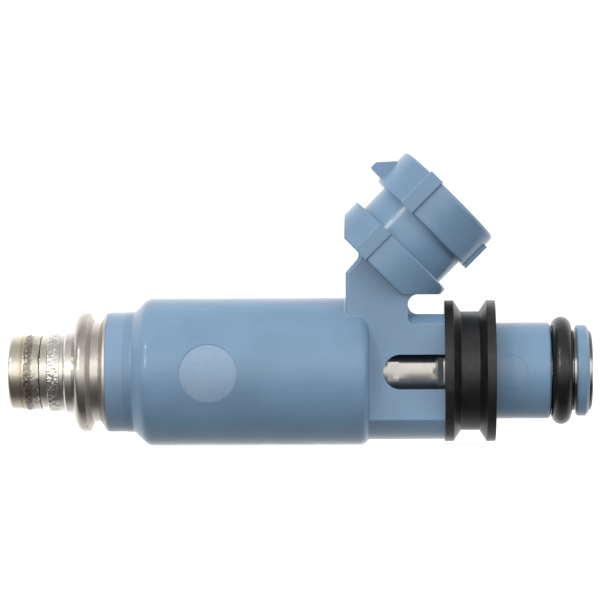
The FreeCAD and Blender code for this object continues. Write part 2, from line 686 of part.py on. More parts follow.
def winding_tape():
    """Tape over the winding."""
    return ring(COIL_X + BOBBIN_FLANGE, COIL_BACK_X - BOBBIN_FLANGE, TAPE_RADIUS, WINDING_RADIUS)


def at_connector(s, offset):
    """(x, z) at a distance s along the connector's axis and beside it, positive towards the lock ramp."""
    lean = math.radians(CONNECTOR_LEAN)
    return (CONNECTOR_X + math.cos(lean) * s - math.sin(lean) * offset,
            CONNECTOR_Z + math.sin(lean) * s + math.cos(lean) * offset)


def terminal(side):
    """Flat blade from the bobbin's lug, up inside the web and into the connector; side is -1 or 1."""
    half = TERMINAL_THICKNESS / 2
    lean = math.radians(CONNECTOR_LEAN)
    riser_x = CONNECTOR_X - WEB_LEFT + RISER_WALL + half
    bend_z = CONNECTOR_Z - (CONNECTOR_X - riser_x) * math.tan(lean)
    mitre = half * math.tan(lean / 2)
    inner_bend = TERMINAL_BEND
    outer_bend = TERMINAL_BEND + TERMINAL_THICKNESS
    neck_s = TERMINAL_TIP_S - TERMINAL_TAPER

    return slab([
        (COIL_BACK_X - TERMINAL_FOOT, TERMINAL_Z - half),
        (riser_x + half, TERMINAL_Z - half, outer_bend),
        (riser_x + half, bend_z - mitre, inner_bend),
        at_connector(neck_s, -half),
        at_connector(TERMINAL_TIP_S, -half / 2),
        at_connector(TERMINAL_TIP_S, half / 2),
        at_connector(neck_s, half),
        (riser_x - half, bend_z + mitre, outer_bend),
        (riser_x - half, TERMINAL_Z + half, inner_bend),
        (COIL_BACK_X - TERMINAL_FOOT, TERMINAL_Z + half),
    ], TERMINAL_WIDTH / 2, side * TERMINAL_SPACING / 2)


def stadium(half_height, s_start, s_end, front_round=0.0, back_round=0.0):
    """Connector section with round sides, extruded along s, in the connector's own frame."""
    o = STADIUM_OFFSET
    h = half_height
    edges = [
        Part.makeLine(Vector(h, -o, 0), Vector(h, o, 0)),
        Part.Arc(Vector(h, o, 0), Vector(0, o + h, 0), Vector(-h, o, 0)).toShape(),
        Part.makeLine(Vector(-h, o, 0), Vector(-h, -o, 0)),
        Part.Arc(Vector(-h, -o, 0), Vector(0, -o - h, 0), Vector(h, -o, 0)).toShape(),
    ]
    solid = solid_of(Part.Face(Part.Wire(edges)).extrude(UP * (s_end - s_start)))
    for rounding, level in ((front_round, s_end - s_start), (back_round, 0.0)):
        if rounding:
            rim = [e for e in solid.Edges if abs(e.BoundBox.ZMin - level) < 1e-4
                   and abs(e.BoundBox.ZMax - level) < 1e-4]
            solid = solid.makeFillet(rounding, rim)
    solid.translate(UP * s_start)
    return solid


def in_place(shape):
    """The shape moved from the connector's own frame to the injector."""
    moved = shape.copy()
    moved.Placement = IN_CONNECTOR.multiply(moved.Placement)
    return moved


def connector_shell():
    """Outside of the connector: collar, barrel, head, guide ribs and lock ramp."""
    head = stadium(HEAD_HALF_HEIGHT, HEAD_START, HEAD_END, CONNECTOR_EDGE_ROUND, CONNECTOR_EDGE_BREAK)
    head.translate(Vector(-HEAD_RISE, 0, 0))
    barrel = stadium(BARREL_HALF_HEIGHT, BARREL_START - SHELL_OVERLAP, HEAD_START + SHELL_OVERLAP)
    collar = stadium(COLLAR_HALF_HEIGHT, COLLAR_START, BARREL_START, CONNECTOR_EDGE_BREAK,
                     CONNECTOR_EDGE_BREAK)
    shell = in_place(head.fuse([barrel, plug_key(), lock_ramp()] + guide_ribs()))
    clip = block(CONNECTOR_X - COLLAR_CLIP_LEFT, CONNECTOR_X + REACH, -REACH, REACH,
                 COLLAR_BOTTOM, REACH)
    return shell.fuse(in_place(collar.fuse(guide_ribs(True))).common(clip))


def guide_ribs(on_collar=False):
    """Raised rib on each side of the head, or of the collar."""
    start, end = (HEAD_START, HEAD_END + RIB_AHEAD)
    if on_collar:
        start, end = (COLLAR_START, BARREL_START)
    inner = HEAD_HALF_HEIGHT + STADIUM_OFFSET - RIB_ROOT
    ribs = []
    for low, high in ((inner, RIB_HALF_SPAN), (-RIB_HALF_SPAN, -inner)):
        rib = block(RIB_HIGH, RIB_LOW, low, high, start, end)
        edges = [e for e in rib.Edges if e.BoundBox.ZLength > 1]
        outer = [e for e in edges if abs(abs(e.CenterOfMass.y) - RIB_HALF_SPAN) < 1e-4]
        ribs.append(rib.makeFillet(RIB_EDGE_ROUND, outer))
    return ribs


def plug_key():
    """Low key along the underside of the head that keeps the mating plug the right way up."""
    key = block(BARREL_HALF_HEIGHT, KEY_REACH, -KEY_HALF_WIDTH, KEY_HALF_WIDTH, HEAD_START, KEY_END)
    edges = [e for e in key.Edges if e.BoundBox.ZLength > 1 and abs(e.CenterOfMass.x - KEY_REACH) < 1e-4]
    return key.makeFillet(KEY_EDGE_ROUND, edges)


def lock_ramp():
    """Ramp on top of the head that the mating plug's latch rides over."""
    top = -HEAD_HALF_HEIGHT - HEAD_RISE
    crest = top - LOCK_RISE
    places = [(top + LOCK_ROOT, LOCK_FRONT), (top, LOCK_FRONT), (crest, LOCK_CREST), (crest, LOCK_BACK),
              (top + LOCK_ROOT, LOCK_BACK)]
    corners = [Vector(x, -LOCK_HALF_WIDTH, z) for x, z in places]
    face = Part.Face(Part.makePolygon(corners + corners[:1]))
    ramp = solid_of(face.extrude(ACROSS * (2 * LOCK_HALF_WIDTH)))
    crests = [e for e in ramp.Edges if e.BoundBox.YLength > 1 and abs(e.CenterOfMass.x - crest) < 1e-4]
    return ramp.makeFillet(LOCK_EDGE_ROUND, crests)


def socket_cutter():
    """Space that the mating plug enters."""
    socket = stadium(SOCKET_HALF_HEIGHT, SOCKET_FLOOR, HEAD_END + RIB_AHEAD + 1, 0, SOCKET_EDGE_ROUND)
    return in_place(socket)


def web_top_at_collar():
    """Offset from the connector's axis at which the web's shoulder runs into the collar's rear face."""
    lean = math.radians(CONNECTOR_LEAN)
    along = (math.cos(lean), math.sin(lean))
    start = -WEB_SHOULDER[0] * along[0] - WEB_SHOULDER[1] * along[1]
    climb = WEB_SHOULDER_SLANT * along[0] + WEB_SHOULDER[1] * along[1]
    share = (COLLAR_START - start) / climb
    x = WEB_SHOULDER_SLANT * share - WEB_SHOULDER[0]
    z = WEB_SHOULDER[1] * (share - 1)
    return z * along[0] - x * along[1]


def web():
    """Flat-sided foot between the body and the connector, with round front edges."""
    left = CONNECTOR_X - WEB_LEFT
    x_middle = CONNECTOR_X + NOTCH_BEHIND
    x_back = x_middle + NOTCH_HEIGHT / 2
    z_middle = (NECK_TOP + COLLAR_BOTTOM) / 2
    z_flat = math.sqrt(BACK_NECK_RADIUS ** 2 - FLAT_HALF_WIDTH ** 2)
    z_low = z_flat - FLAT_EDGE_ROUND
    x_round = NOTCH_FRONT_X + WEB_CORNER_ROUND
    meet = web_top_at_collar()
    foot = slab([
        (left, 0),
        (left, CONNECTOR_Z - WEB_STEP, WEB_PROFILE_ROUND),
        (CONNECTOR_X - WEB_SHOULDER[0], CONNECTOR_Z - WEB_SHOULDER[1], WEB_PROFILE_ROUND),
        (*at_connector(COLLAR_START, meet), WEB_COLLAR_FILLET),
        at_connector(COLLAR_START, meet + WEB_RIM),
        at_connector(COLLAR_START + WEB_RIM, meet + WEB_RIM),
        (CONNECTOR_X, CONNECTOR_Z),
        (x_middle, COLLAR_BOTTOM + NOTCH_HEIGHT / 2),
        (x_middle, z_middle),
        (NOTCH_FRONT_X, z_middle),
        (NOTCH_FRONT_X, z_flat - EDGE_BREAK, WEB_CORNER_ROUND),
        (x_round + EDGE_BREAK, z_flat - EDGE_BREAK),
        (x_round + FLAT_EDGE_ROUND + EDGE_BREAK, z_low),
        (x_back, z_low),
        (x_back, 0),
    ], FLAT_HALF_WIDTH)
    front = [e for e in foot.Edges if abs(e.BoundBox.XMin - left) < 1e-4
             and e.BoundBox.XLength < 1e-4 and e.BoundBox.ZLength > 1]
    ledge = slab([(NOTCH_FRONT_X - 1, 0), (NOTCH_FRONT_X - 1, z_middle), (x_back, z_middle), (x_back, 0)],
                 math.sqrt(BACK_NECK_RADIUS ** 2 - NECK_TOP ** 2))
    return foot.makeFillet(WEB_EDGE_ROUND, front).fuse(ledge)


def notch_cutter():
    """Round-ended gap between the connector's collar and the back neck."""
    half = NOTCH_HEIGHT / 2
    x_front = NOTCH_FRONT_X
    x_back = CONNECTOR_X + REACH
    return slab([(x_front, NECK_TOP, half), (x_front, COLLAR_BOTTOM, half), (x_back, COLLAR_BOTTOM),
                 (x_back, NECK_TOP)], REACH)


def back_neck():
    """Round neck behind the body with two side flats and a flat top."""
    neck = ring(BODY_END_X - BODY_END_ROUND, NECK_END_X, BACK_NECK_RADIUS)
    sides = block(-REACH, REACH, -FLAT_HALF_WIDTH, FLAT_HALF_WIDTH, -REACH, NECK_TOP)
    flatted = neck.common(sides)
    long_edges = [e for e in flatted.Edges if e.BoundBox.XLength > BACK_NECK_LENGTH / 2
                  and abs(abs(e.CenterOfMass.y) - FLAT_HALF_WIDTH) < 1e-4]
    return flatted.makeFillet(FLAT_EDGE_ROUND, long_edges)


def body_outside():
    """Front neck, shoulder and barrel of the plastic body."""
    return turned([
        (COVER_X, 0),
        (COVER_X, FRONT_NECK_RADIUS - MOULD_STEP, EDGE_BREAK),
        (COVER_X + MOULD_STEP_AT, FRONT_NECK_RADIUS - MOULD_STEP),
        (COVER_X + MOULD_STEP_AT + MOULD_STEP, FRONT_NECK_RADIUS),
        (SHOULDER_X, FRONT_NECK_RADIUS, SHOULDER_FILLET),
        (BODY_FULL_X, BODY_RADIUS, SHOULDER_ROUND),
        (BODY_END_X, BODY_RADIUS, BODY_END_ROUND),
        (BODY_END_X, 0),
    ])


def stem():
    """Plastic stem on the fuel tube, under the grommet and up to the O-ring."""
    return turned([
        (NECK_END_X - 1, 0),
        (NECK_END_X - 1, STEM_RADIUS),
        (STEM_END_X, STEM_RADIUS, STEM_ROUND),
        (STEM_END_X, 0),
    ])


def cover_space():
    """Everything inside the plastic: the yoke's outline, then the core."""
    nose_back_x = SHOULDER_X + COVER_WALL
    return turned([
        (COVER_X, 0),
        (COVER_X, YOKE_NOSE_RADIUS),
        (nose_back_x, YOKE_NOSE_RADIUS),
        (nose_back_x + YOKE_RADIUS - YOKE_NOSE_RADIUS, YOKE_RADIUS),
        (YOKE_BACK_X, YOKE_RADIUS),
        (YOKE_BACK_X, CORE_RADIUS),
        (STEM_END_X, CORE_RADIUS),
        (STEM_END_X, 0),
    ])


def window_cutter():
    """Slot through the back neck that opens on the crimped core on both sides."""
    h = WINDOW_HALF_HEIGHT
    return slab([(WINDOW_X, -h, h), (WINDOW_X, h, h), (NECK_END_X, h), (NECK_END_X, -h)],
                FLAT_HALF_WIDTH + 1)


def ejector_mark(x, radius, surface, depth):
    """Shallow round recess that follows the curved surface it is in, on the -Y side."""
    pin = Part.makeCylinder(radius, surface * 2, Vector(x, -surface * 2, 0), ACROSS)
    return pin.common(ring(x - 2 * radius, x + 2 * radius, surface + 1, surface - depth))


def web_foot_edges(shape):
    """Edges where the web rises from the round body."""
    left = CONNECTOR_X - WEB_LEFT
    lowest = math.sqrt(BODY_RADIUS ** 2 - FLAT_HALF_WIDTH ** 2)
    return [e for e in shape.Edges if e.BoundBox.XMin > left - 0.01 and e.BoundBox.XMax < BODY_END_X
            and e.BoundBox.ZMin > lowest - 0.01 and e.BoundBox.ZMax < BODY_RADIUS + 0.01]


def overmold_body():
    """The whole plastic moulding, with the space for what it is moulded round."""
    outside = body_outside().fuse([back_neck(), stem(), web(), connector_shell()])
    outside = outside.makeFillet(WEB_FOOT_FILLET, web_foot_edges(outside))
    spaces = [cover_space(), window_cutter(), notch_cutter(), socket_cutter(),
              terminal(-1), terminal(1),
              ejector_mark(DISC_X, DISC_RADIUS, BODY_RADIUS, DISC_DEPTH),
              ejector_mark(NECK_END_X + STEM_DISC_X, STEM_DISC_RADIUS, STEM_RADIUS, STEM_DISC_DEPTH)]
    return outside.cut(spaces).removeSplitter()


def upper_grommet():
    """Rubber spool on the stem that seats on the fuel rail."""
    waist = STEM_RADIUS + GROMMET_WAIST
    flange = waist + GROMMET_LIP
    front_in_x = NECK_END_X + GROMMET_FLANGE
    back_in_x = GROMMET_BACK_X - GROMMET_FLANGE
    return turned([
        (NECK_END_X, STEM_RADIUS),
        (NECK_END_X, flange, GROMMET_EDGE_ROUND),
        (front_in_x, flange, GROMMET_EDGE_ROUND),
        (front_in_x + GROMMET_SLOPE, waist, GROMMET_WAIST_FILLET),
        (back_in_x - GROMMET_SLOPE, waist, GROMMET_WAIST_FILLET),
        (back_in_x, flange, GROMMET_EDGE_ROUND),
        (GROMMET_BACK_X, flange, GROMMET_EDGE_ROUND),
        (GROMMET_BACK_X, STEM_RADIUS),
    ])


def rail_oring():
    """O-ring on the fuel tube that seals in the rail's cup."""
    return Part.makeTorus(CORE_RADIUS + ORING_SECTION / 2, ORING_SECTION / 2, Vector(ORING_X, 0, 0), AXIS)


def oring_retainer():
    """Plastic ring snapped over the tube's lip."""
    x_start = LIP_X + RETAINER_IN_LIP
    x_end = x_start + RETAINER_WIDTH
    bore = LIP_RADIUS - RETAINER_GROOVE
    return turned([
        (x_start, bore),
        (x_start, RETAINER_RADIUS, RETAINER_CORNER),
        (x_end - RETAINER_CHAMFER, RETAINER_RADIUS, EDGE_BREAK),
        (x_end, RETAINER_RADIUS - RETAINER_CHAMFER),
        (x_end, bore),
    ])


PIECES = {
    "nozzle_cap": nozzle_cap,
    "orifice_plate": orifice_plate,
    "valve_seat": valve_seat,
    "nozzle_holder": nozzle_holder,
    "valve_body": valve_body,
    "stop_ring": stop_ring,
    "yoke_housing": yoke_housing,
    "yoke_plate": yoke_plate,
    "valve_ball": valve_ball,
    "valve_needle": valve_needle,
    "armature": armature,
    "lift_stop_plate": lift_stop_plate,
    "nonmagnetic_sleeve": nonmagnetic_sleeve,
    "inlet_core": inlet_core,
    "return_spring": return_spring,
    "adjusting_tube": adjusting_tube,
    "filter_frame": filter_frame,
    "filter_mesh": filter_mesh,
    "coil_bobbin": coil_bobbin,
    "coil_winding": coil_winding,
    "winding_tape": winding_tape,
    "terminal_left": lambda: terminal(-1),
    "terminal_right": lambda: terminal(1),
    "overmold_body": overmold_body,
    "upper_grommet": upper_grommet,
    "rail_oring": rail_oring,
    "oring_retainer": oring_retainer,
}

os.makedirs("parts", exist_ok=True)
for name, build in PIECES.items():
    piece = build()
    piece.exportStep(f"parts/{name}.step")
    box = piece.BoundBox
    print(f"{name:20s} solids {len(piece.Solids)} valid {piece.isValid()} volume {piece.Volume:9.2f} mm3"
          f"  x {box.XMin:7.2f} {box.XMax:7.2f}  y {box.YMin:6.2f} {box.YMax:6.2f}"
          f"  z {box.ZMin:6.2f} {box.ZMax:6.2f}")
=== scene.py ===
"""Looks of a top-feed fuel injector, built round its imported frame. Lengths are in metres unless a name says mm."""

import itertools
import logging
import math
from dataclasses import dataclass
from enum import Enum
from typing import Callable, Optional, Sequence

import bmesh
import bpy
import numpy as np
from mathutils import Matrix, Vector


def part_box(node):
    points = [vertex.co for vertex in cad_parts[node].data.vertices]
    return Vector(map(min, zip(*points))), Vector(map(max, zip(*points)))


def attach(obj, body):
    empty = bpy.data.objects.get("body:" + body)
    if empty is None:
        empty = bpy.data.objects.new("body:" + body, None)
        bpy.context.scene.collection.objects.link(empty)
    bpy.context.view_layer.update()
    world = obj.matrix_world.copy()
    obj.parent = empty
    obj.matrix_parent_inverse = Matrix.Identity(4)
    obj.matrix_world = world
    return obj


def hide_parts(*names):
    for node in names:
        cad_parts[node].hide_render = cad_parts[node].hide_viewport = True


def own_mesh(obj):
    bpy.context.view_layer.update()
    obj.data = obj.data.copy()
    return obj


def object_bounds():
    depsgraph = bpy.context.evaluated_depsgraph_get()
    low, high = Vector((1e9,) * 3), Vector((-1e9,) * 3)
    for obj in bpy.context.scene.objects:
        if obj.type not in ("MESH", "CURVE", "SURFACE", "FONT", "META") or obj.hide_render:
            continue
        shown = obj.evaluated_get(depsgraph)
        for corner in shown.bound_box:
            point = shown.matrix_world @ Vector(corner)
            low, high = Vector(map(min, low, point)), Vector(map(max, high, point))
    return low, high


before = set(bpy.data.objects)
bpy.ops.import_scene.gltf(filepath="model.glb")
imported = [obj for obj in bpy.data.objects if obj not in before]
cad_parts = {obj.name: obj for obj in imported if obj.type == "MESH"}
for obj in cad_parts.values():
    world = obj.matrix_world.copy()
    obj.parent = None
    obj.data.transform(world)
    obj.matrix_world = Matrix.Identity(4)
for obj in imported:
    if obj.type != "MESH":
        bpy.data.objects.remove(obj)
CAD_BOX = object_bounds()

MM = 0.001
OUTER_SHARE = 0.9  # share of an outline's largest radius above which it counts as the outer surface
LEAST_GAP_MM = 0.01  # closest that an added point may stand to a corner
WELD_DISTANCE = 1e-7
LATTICE_ROWS = 64
DISC_X, DISC_RADIUS = 15.0, 3.135  # the pale disc on the barrel, in mm
LOG = logging.getLogger("injector")
Array = np.ndarray
Material, Node, Socket, Tree = bpy.types.Material, bpy.types.Node, bpy.types.NodeSocket, bpy.types.NodeTree
Colour = tuple[float, float, float]
Finishes = dict[str, Material]
Relief = Callable[[Array, Array, Array], Array]


class Body(Enum):
    """The rigid bodies of the frame."""

    INJECTOR = "injector"
    VALVE = "valve"


class Slot(Enum):
    """The record's material slots that the pieces' finishes belong to."""

    BLUE_PLASTIC = "blue_plastic"
    STAINLESS = "stainless_steel"
    SPRING = "spring_steel"
    RUBBER = "black_rubber"
    ORING = "oring_rubber"
    COPPER = "enamelled_copper"
    TAPE = "polyester_tape"
    SCREEN = "woven_steel"


# Surfaces


def rounded(corners: Sequence[tuple[float, ...]], arc_points: int = 8) -> Array:
    """Outline through corners, with its rounded corners drawn as arcs.

    Each arc is tangent to both sides: its centre lies on the corner's bisector, at radius over the sine of half
    the corner's angle, and it is sampled at even angles.

    Args:
        corners: (along, out) or (along, out, corner radius), in mm.
        arc_points: Points on each arc.

    Returns:
        Points of the closed outline, in mm, one row each.
    """
    parts: list[Array] = []
    count = len(corners)
    for i, corner in enumerate(corners):
        here = np.array(corner[:2], float)
        radius = corner[2] if len(corner) == 3 else 0.0
        if radius == 0.0:
            parts.append(here[None, :])
            continue
        back = np.array(corners[i - 1][:2], float) - here
        ahead = np.array(corners[(i + 1) % count][:2], float) - here
        back /= np.linalg.norm(back)
        ahead /= np.linalg.norm(ahead)
        middle = (back + ahead) / np.linalg.norm(back + ahead)
        half = math.acos(np.clip(back @ ahead, -1, 1)) / 2
        centre = here + middle * radius / math.sin(half)
        start = here + back * radius / math.tan(half) - centre
        end = here + ahead * radius / math.tan(half) - centre
        share = np.linspace(0, 1, arc_points)[:, None]
        swing = math.pi - 2 * half
        arc = (np.sin((1 - share) * swing) * start + np.sin(share * swing) * end) / math.sin(swing)
        parts.append(centre + arc)
    return np.vstack(parts)


def refined(corners: Sequence[tuple[float, ...]], step: float,
            fine: Sequence[tuple[float, float, float]] = ()) -> Array:
    """Rounded outline with points added so that none is further than step from the next.

    Distance along the outline is the parameter; its corners are kept and even stations are merged in.

    Args:
        corners: Corners of the closed outline, as for rounded.
        step: Longest run between points.
        fine: (x from, x to, step) for stretches of the outer surface that need closer points.

    Returns:
        The closed outline with more points.
    """
    outline = rounded(corners)
    loop = np.vstack([outline, outline[:1]])
    runs = np.linalg.norm(np.diff(loop, axis=0), axis=1)
    stations = np.concatenate([[0.0], np.cumsum(runs)])
    added = [np.arange(0, stations[-1], step)]
    for low, high, close in fine:
        even = np.arange(0, stations[-1], close)
        x = np.interp(even, stations, loop[:, 0])
        out = np.interp(even, stations, loop[:, 1])
        added.append(even[(x > low) & (x < high) & (out > outline[:, 1].max() * OUTER_SHARE)])
    even = np.unique(np.concatenate(added))
    gap = np.abs(even[:, None] - stations[None, :]).min(axis=1)
    wanted = np.unique(np.concatenate([stations[:-1], even[gap > LEAST_GAP_MM]]))
    return np.stack([np.interp(wanted, stations, loop[:, k]) for k in (0, 1)], axis=1)


def lattice_noise(along: Array, angles: Array, pitch: float, cells: int, seed: int) -> Array:
    """Smooth random bumps from -1 to 1 that close on themselves round the axis.

    Random values stand on a lattice of rows a pitch apart and cells round the axis, and are blended between
    neighbours with the smooth step 3t^2 - 2t^3.

    Args:
        along: Positions along the axis, in mm.
        angles: Angles round the axis, in radians.
        pitch: Distance between rows, in mm.
        cells: Lattice points round the axis.
        seed: Seed of the random values.

    Returns:
        The noise at each position.
    """
    table = np.random.default_rng(seed).uniform(-1, 1, (LATTICE_ROWS, cells))
    u, v = along / pitch, angles / (2 * np.pi) * cells
    i, j = np.floor(u).astype(int), np.floor(v).astype(int)
    du, dv = u - i, v - j
    du, dv = du * du * (3 - 2 * du), dv * dv * (3 - 2 * dv)
    row, next_row, cell, next_cell = i % LATTICE_ROWS, (i + 1) % LATTICE_ROWS, j % cells, (j + 1) % cells
    near = table[row, cell] * (1 - dv) + table[row, next_cell] * dv
    far = table[next_row, cell] * (1 - dv) + table[next_row, next_cell] * dv
    return near * (1 - du) + far * du


def hump(value: Array, centre: float, half_width: float) -> Array:
    """Smooth hump of height 1: the square of a cosine's half wave about the centre, 0 beyond the half width."""
    share = np.clip((value - centre) / half_width, -1, 1)
    return np.cos(share * np.pi / 2) ** 2


def turned(outline: Array, around: int, relief: Optional[Relief] = None) -> Array:
    """Grid of a surface of revolution: the outline carried round the injector's axis.

    A point at angle a is (x, r sin a, r cos a), and the relief adds its value to r.

    Args:
        outline: Rows of (x, r), in mm.
        around: Steps round the axis.
        relief: Height to add to r, from x, r and the angle.

    Returns:
        Array of points (outline, around, 3), in mm.
    """
    angle = np.linspace(0, 2 * np.pi, around, endpoint=False)
    x, angles = np.meshgrid(outline[:, 0], angle, indexing="ij")
    radius = np.repeat(outline[:, 1:2], around, axis=1)
    if relief is not None:
        radius = radius + relief(x, radius, angles) * (radius > 0)
    return np.stack([x, radius * np.sin(angles), radius * np.cos(angles)], axis=2)


def tube_along(path: Array, radius: float, sides: int) -> Array:
    """Grid of a round tube along a path: each ring stands across the path's tangent.

    The ring's two directions are the tangent crossed with the injector's axis and that crossed with the tangent.

    Args:
        path: Rows of points, in mm.
        radius: The tube's radius, in mm.
        sides: Points on each ring.

    Returns:
        Array of points (path, sides, 3), in mm.
    """
    tangent = np.gradient(path, axis=0)
    tangent /= np.linalg.norm(tangent, axis=1)[:, None]
    first = np.cross(tangent, np.array([1.0, 0.0, 0.0]))
    first /= np.linalg.norm(first, axis=1)[:, None]
    second = np.cross(tangent, first)
    angle = np.linspace(0, 2 * np.pi, sides, endpoint=False)
    ring = first[:, None, :] * np.cos(angle)[None, :, None] + second[:, None, :] * np.sin(angle)[None, :, None]
    return path[:, None, :] + radius * ring


def mesh_object(name: str, grids: Sequence[tuple[Array, bool]], sharp: float = 30.0) -> bpy.types.Object:
    """Object from grids of points, welded, with outward faces and smooth shading up to an angle.

    Quads join neighbouring points, and each row closes on itself.

    Args:
        name: The piece's name.
        grids: For each grid its points (rows, columns, 3), in mm, and whether its last row joins its first.
        sharp: Angle in degrees past which an edge stays sharp.

    Returns:
        The new object, linked to the scene.
    """
    points, faces, count = [], [], 0
    for grid, wrap in grids:
        rows, columns = grid.shape[:2]
        i, j = np.meshgrid(np.arange(rows if wrap else rows - 1), np.arange(columns), indexing="ij")
        i, j = i.ravel(), j.ravel()
        here, ahead, beside = i * columns, (i + 1) % rows * columns, (j + 1) % columns
        faces.append(count + np.stack([here + j, ahead + j, ahead + beside, here + beside], axis=1))
        points.append(grid.reshape(-1, 3))
        count += rows * columns
    mesh = bpy.data.meshes.new(name)
    mesh.from_pydata((np.vstack(points) * MM).tolist(), [], np.vstack(faces).tolist())
    work = bmesh.new()
    work.from_mesh(mesh)
    bmesh.ops.remove_doubles(work, verts=work.verts, dist=WELD_DISTANCE)
    bmesh.ops.recalc_face_normals(work, faces=work.faces)
    work.to_mesh(mesh)
    work.free()
    mesh.shade_smooth()
    mesh.set_sharp_from_angle(angle=math.radians(sharp))
    piece = bpy.data.objects.new(name, mesh)
    bpy.context.scene.collection.objects.link(piece)
    return piece


# Shader graph


class Graph:
    """Small helper round a node tree, so that a finish reads as a few lines."""

    def __init__(self, tree: Tree) -> None:
        """Keeps the tree."""
        self.tree = tree

    def put(self, socket: Socket, value) -> None:
        """Links a socket, or sets it to a plain value."""
        if isinstance(value, Socket):
            self.tree.links.new(value, socket)
        else:
            socket.default_value = value

    def fill(self, node: Node, **inputs) -> None:
        """Puts values or sockets on a node's inputs, by name, with _ for a space."""
        for key, value in inputs.items():
            self.put(node.inputs[key.replace("_", " ")], value)

    def add(self, kind: str, settings: Optional[dict] = None, **inputs) -> Node:
        """Adds a node.

        Args:
            kind: The node's type name after ShaderNode.
            settings: Properties to set on the node.
            **inputs: Values or sockets for its inputs, as for fill.

        Returns:
            The node.
        """
        node = self.tree.nodes.new("ShaderNode" + kind)
        for key, value in (settings or {}).items():
            setattr(node, key, value)
        self.fill(node, **inputs)
        return node

    def math(self, operation: str, first, second=0.0) -> Socket:
        """Output of a Math node on two values or sockets."""
        node = self.add("Math", {"operation": operation})
        self.put(node.inputs[0], first)
        self.put(node.inputs[1], second)
        return node.outputs[0]

    def times(self, first, second) -> Socket:
        """The product of two values or sockets."""
        return self.math("MULTIPLY", first, second)

    def plus(self, first, second) -> Socket:
        """The sum of two values or sockets."""
        return self.math("ADD", first, second)

    def axes(self, vector) -> tuple[Socket, ...]:
        """The X, Y and Z of a vector."""
        return tuple(self.add("SeparateXYZ", None, Vector=vector).outputs)

    def span(self, value, low: float, high: float, to_low: float = 0.0, to_high: float = 1.0,
             smooth: bool = True) -> Socket:
        """Output of a clamped Map Range node from low..high to to_low..to_high."""
        kind = "SMOOTHSTEP" if smooth else "LINEAR"
        node = self.add("MapRange", {"interpolation_type": kind, "clamp": True})
        for socket, amount in zip(node.inputs, (value, low, high, to_low, to_high)):
            self.put(socket, amount)
        return node.outputs[0]

    def mix(self, factor, first, second) -> Socket:
        """Colour output of a Mix node."""
        node = self.add("Mix", {"data_type": "RGBA"}, Factor=factor)
        self.put(node.inputs[6], first)
        self.put(node.inputs[7], second)
        return node.outputs[2]

    def noise(self, vector, scale, detail: float = 3.0, rough: float = 0.5) -> Socket:
        """Factor output of a Noise texture."""
        node = self.add("TexNoise", None, Vector=vector, Scale=scale, Detail=detail, Roughness=rough)
        return node.outputs["Fac"]

    def bump(self, height, distance_mm: float, strength: float = 1.0, **inputs) -> Socket:
        """Normal output of a Bump node."""
        return self.add("Bump", None, Strength=strength, Distance=distance_mm * MM, Height=height,
                        **inputs).outputs[0]

    def ramp(self, share, stops: Sequence[tuple[float, Sequence[float]]]) -> Socket:
        """Colour output of a Color Ramp.

        Args:
            share: Where on the ramp, 0 to 1.
            stops: (position, colour) of each stop, in order.

        Returns:
            The colour's socket.
        """
        node = self.add("ValToRGB", None, Fac=share)
        elements = node.color_ramp.elements
        elements.remove(elements[1])
        for i, (position, colour) in enumerate(stops):
            stop = elements[0] if i == 0 else elements.new(position)
            stop.color = rgba(colour)
        return node.outputs["Color"]


def new_group(name: str, outputs: Sequence[str], **defaults: float):
    """Empty shader node group with a Vector input and number sockets.

    Args:
        name: The group's name.
        outputs: Name of each output.
        **defaults: Default of each further input, by name, with _ for a space.

    Returns:
        The group's graph, its inputs' sockets, its output node, and how many of the first further input, a size
        in mm, go into a metre.
    """
    tree = bpy.data.node_groups.new(name, "ShaderNodeTree")
    tree.interface.new_socket("Vector", in_out="INPUT", socket_type="NodeSocketVector")
    for label, default in defaults.items():
        socket = tree.interface.new_socket(label.replace("_", " "), in_out="INPUT", socket_type="NodeSocketFloat")
        socket.default_value = default
    for label in outputs:
        tree.interface.new_socket(label, in_out="OUTPUT", socket_type="NodeSocketFloat")
    g, inside = Graph(tree), tree.nodes.new("NodeGroupInput").outputs
    return g, inside, tree.nodes.new("NodeGroupOutput"), g.math("DIVIDE", 1.0 / MM, inside[1])


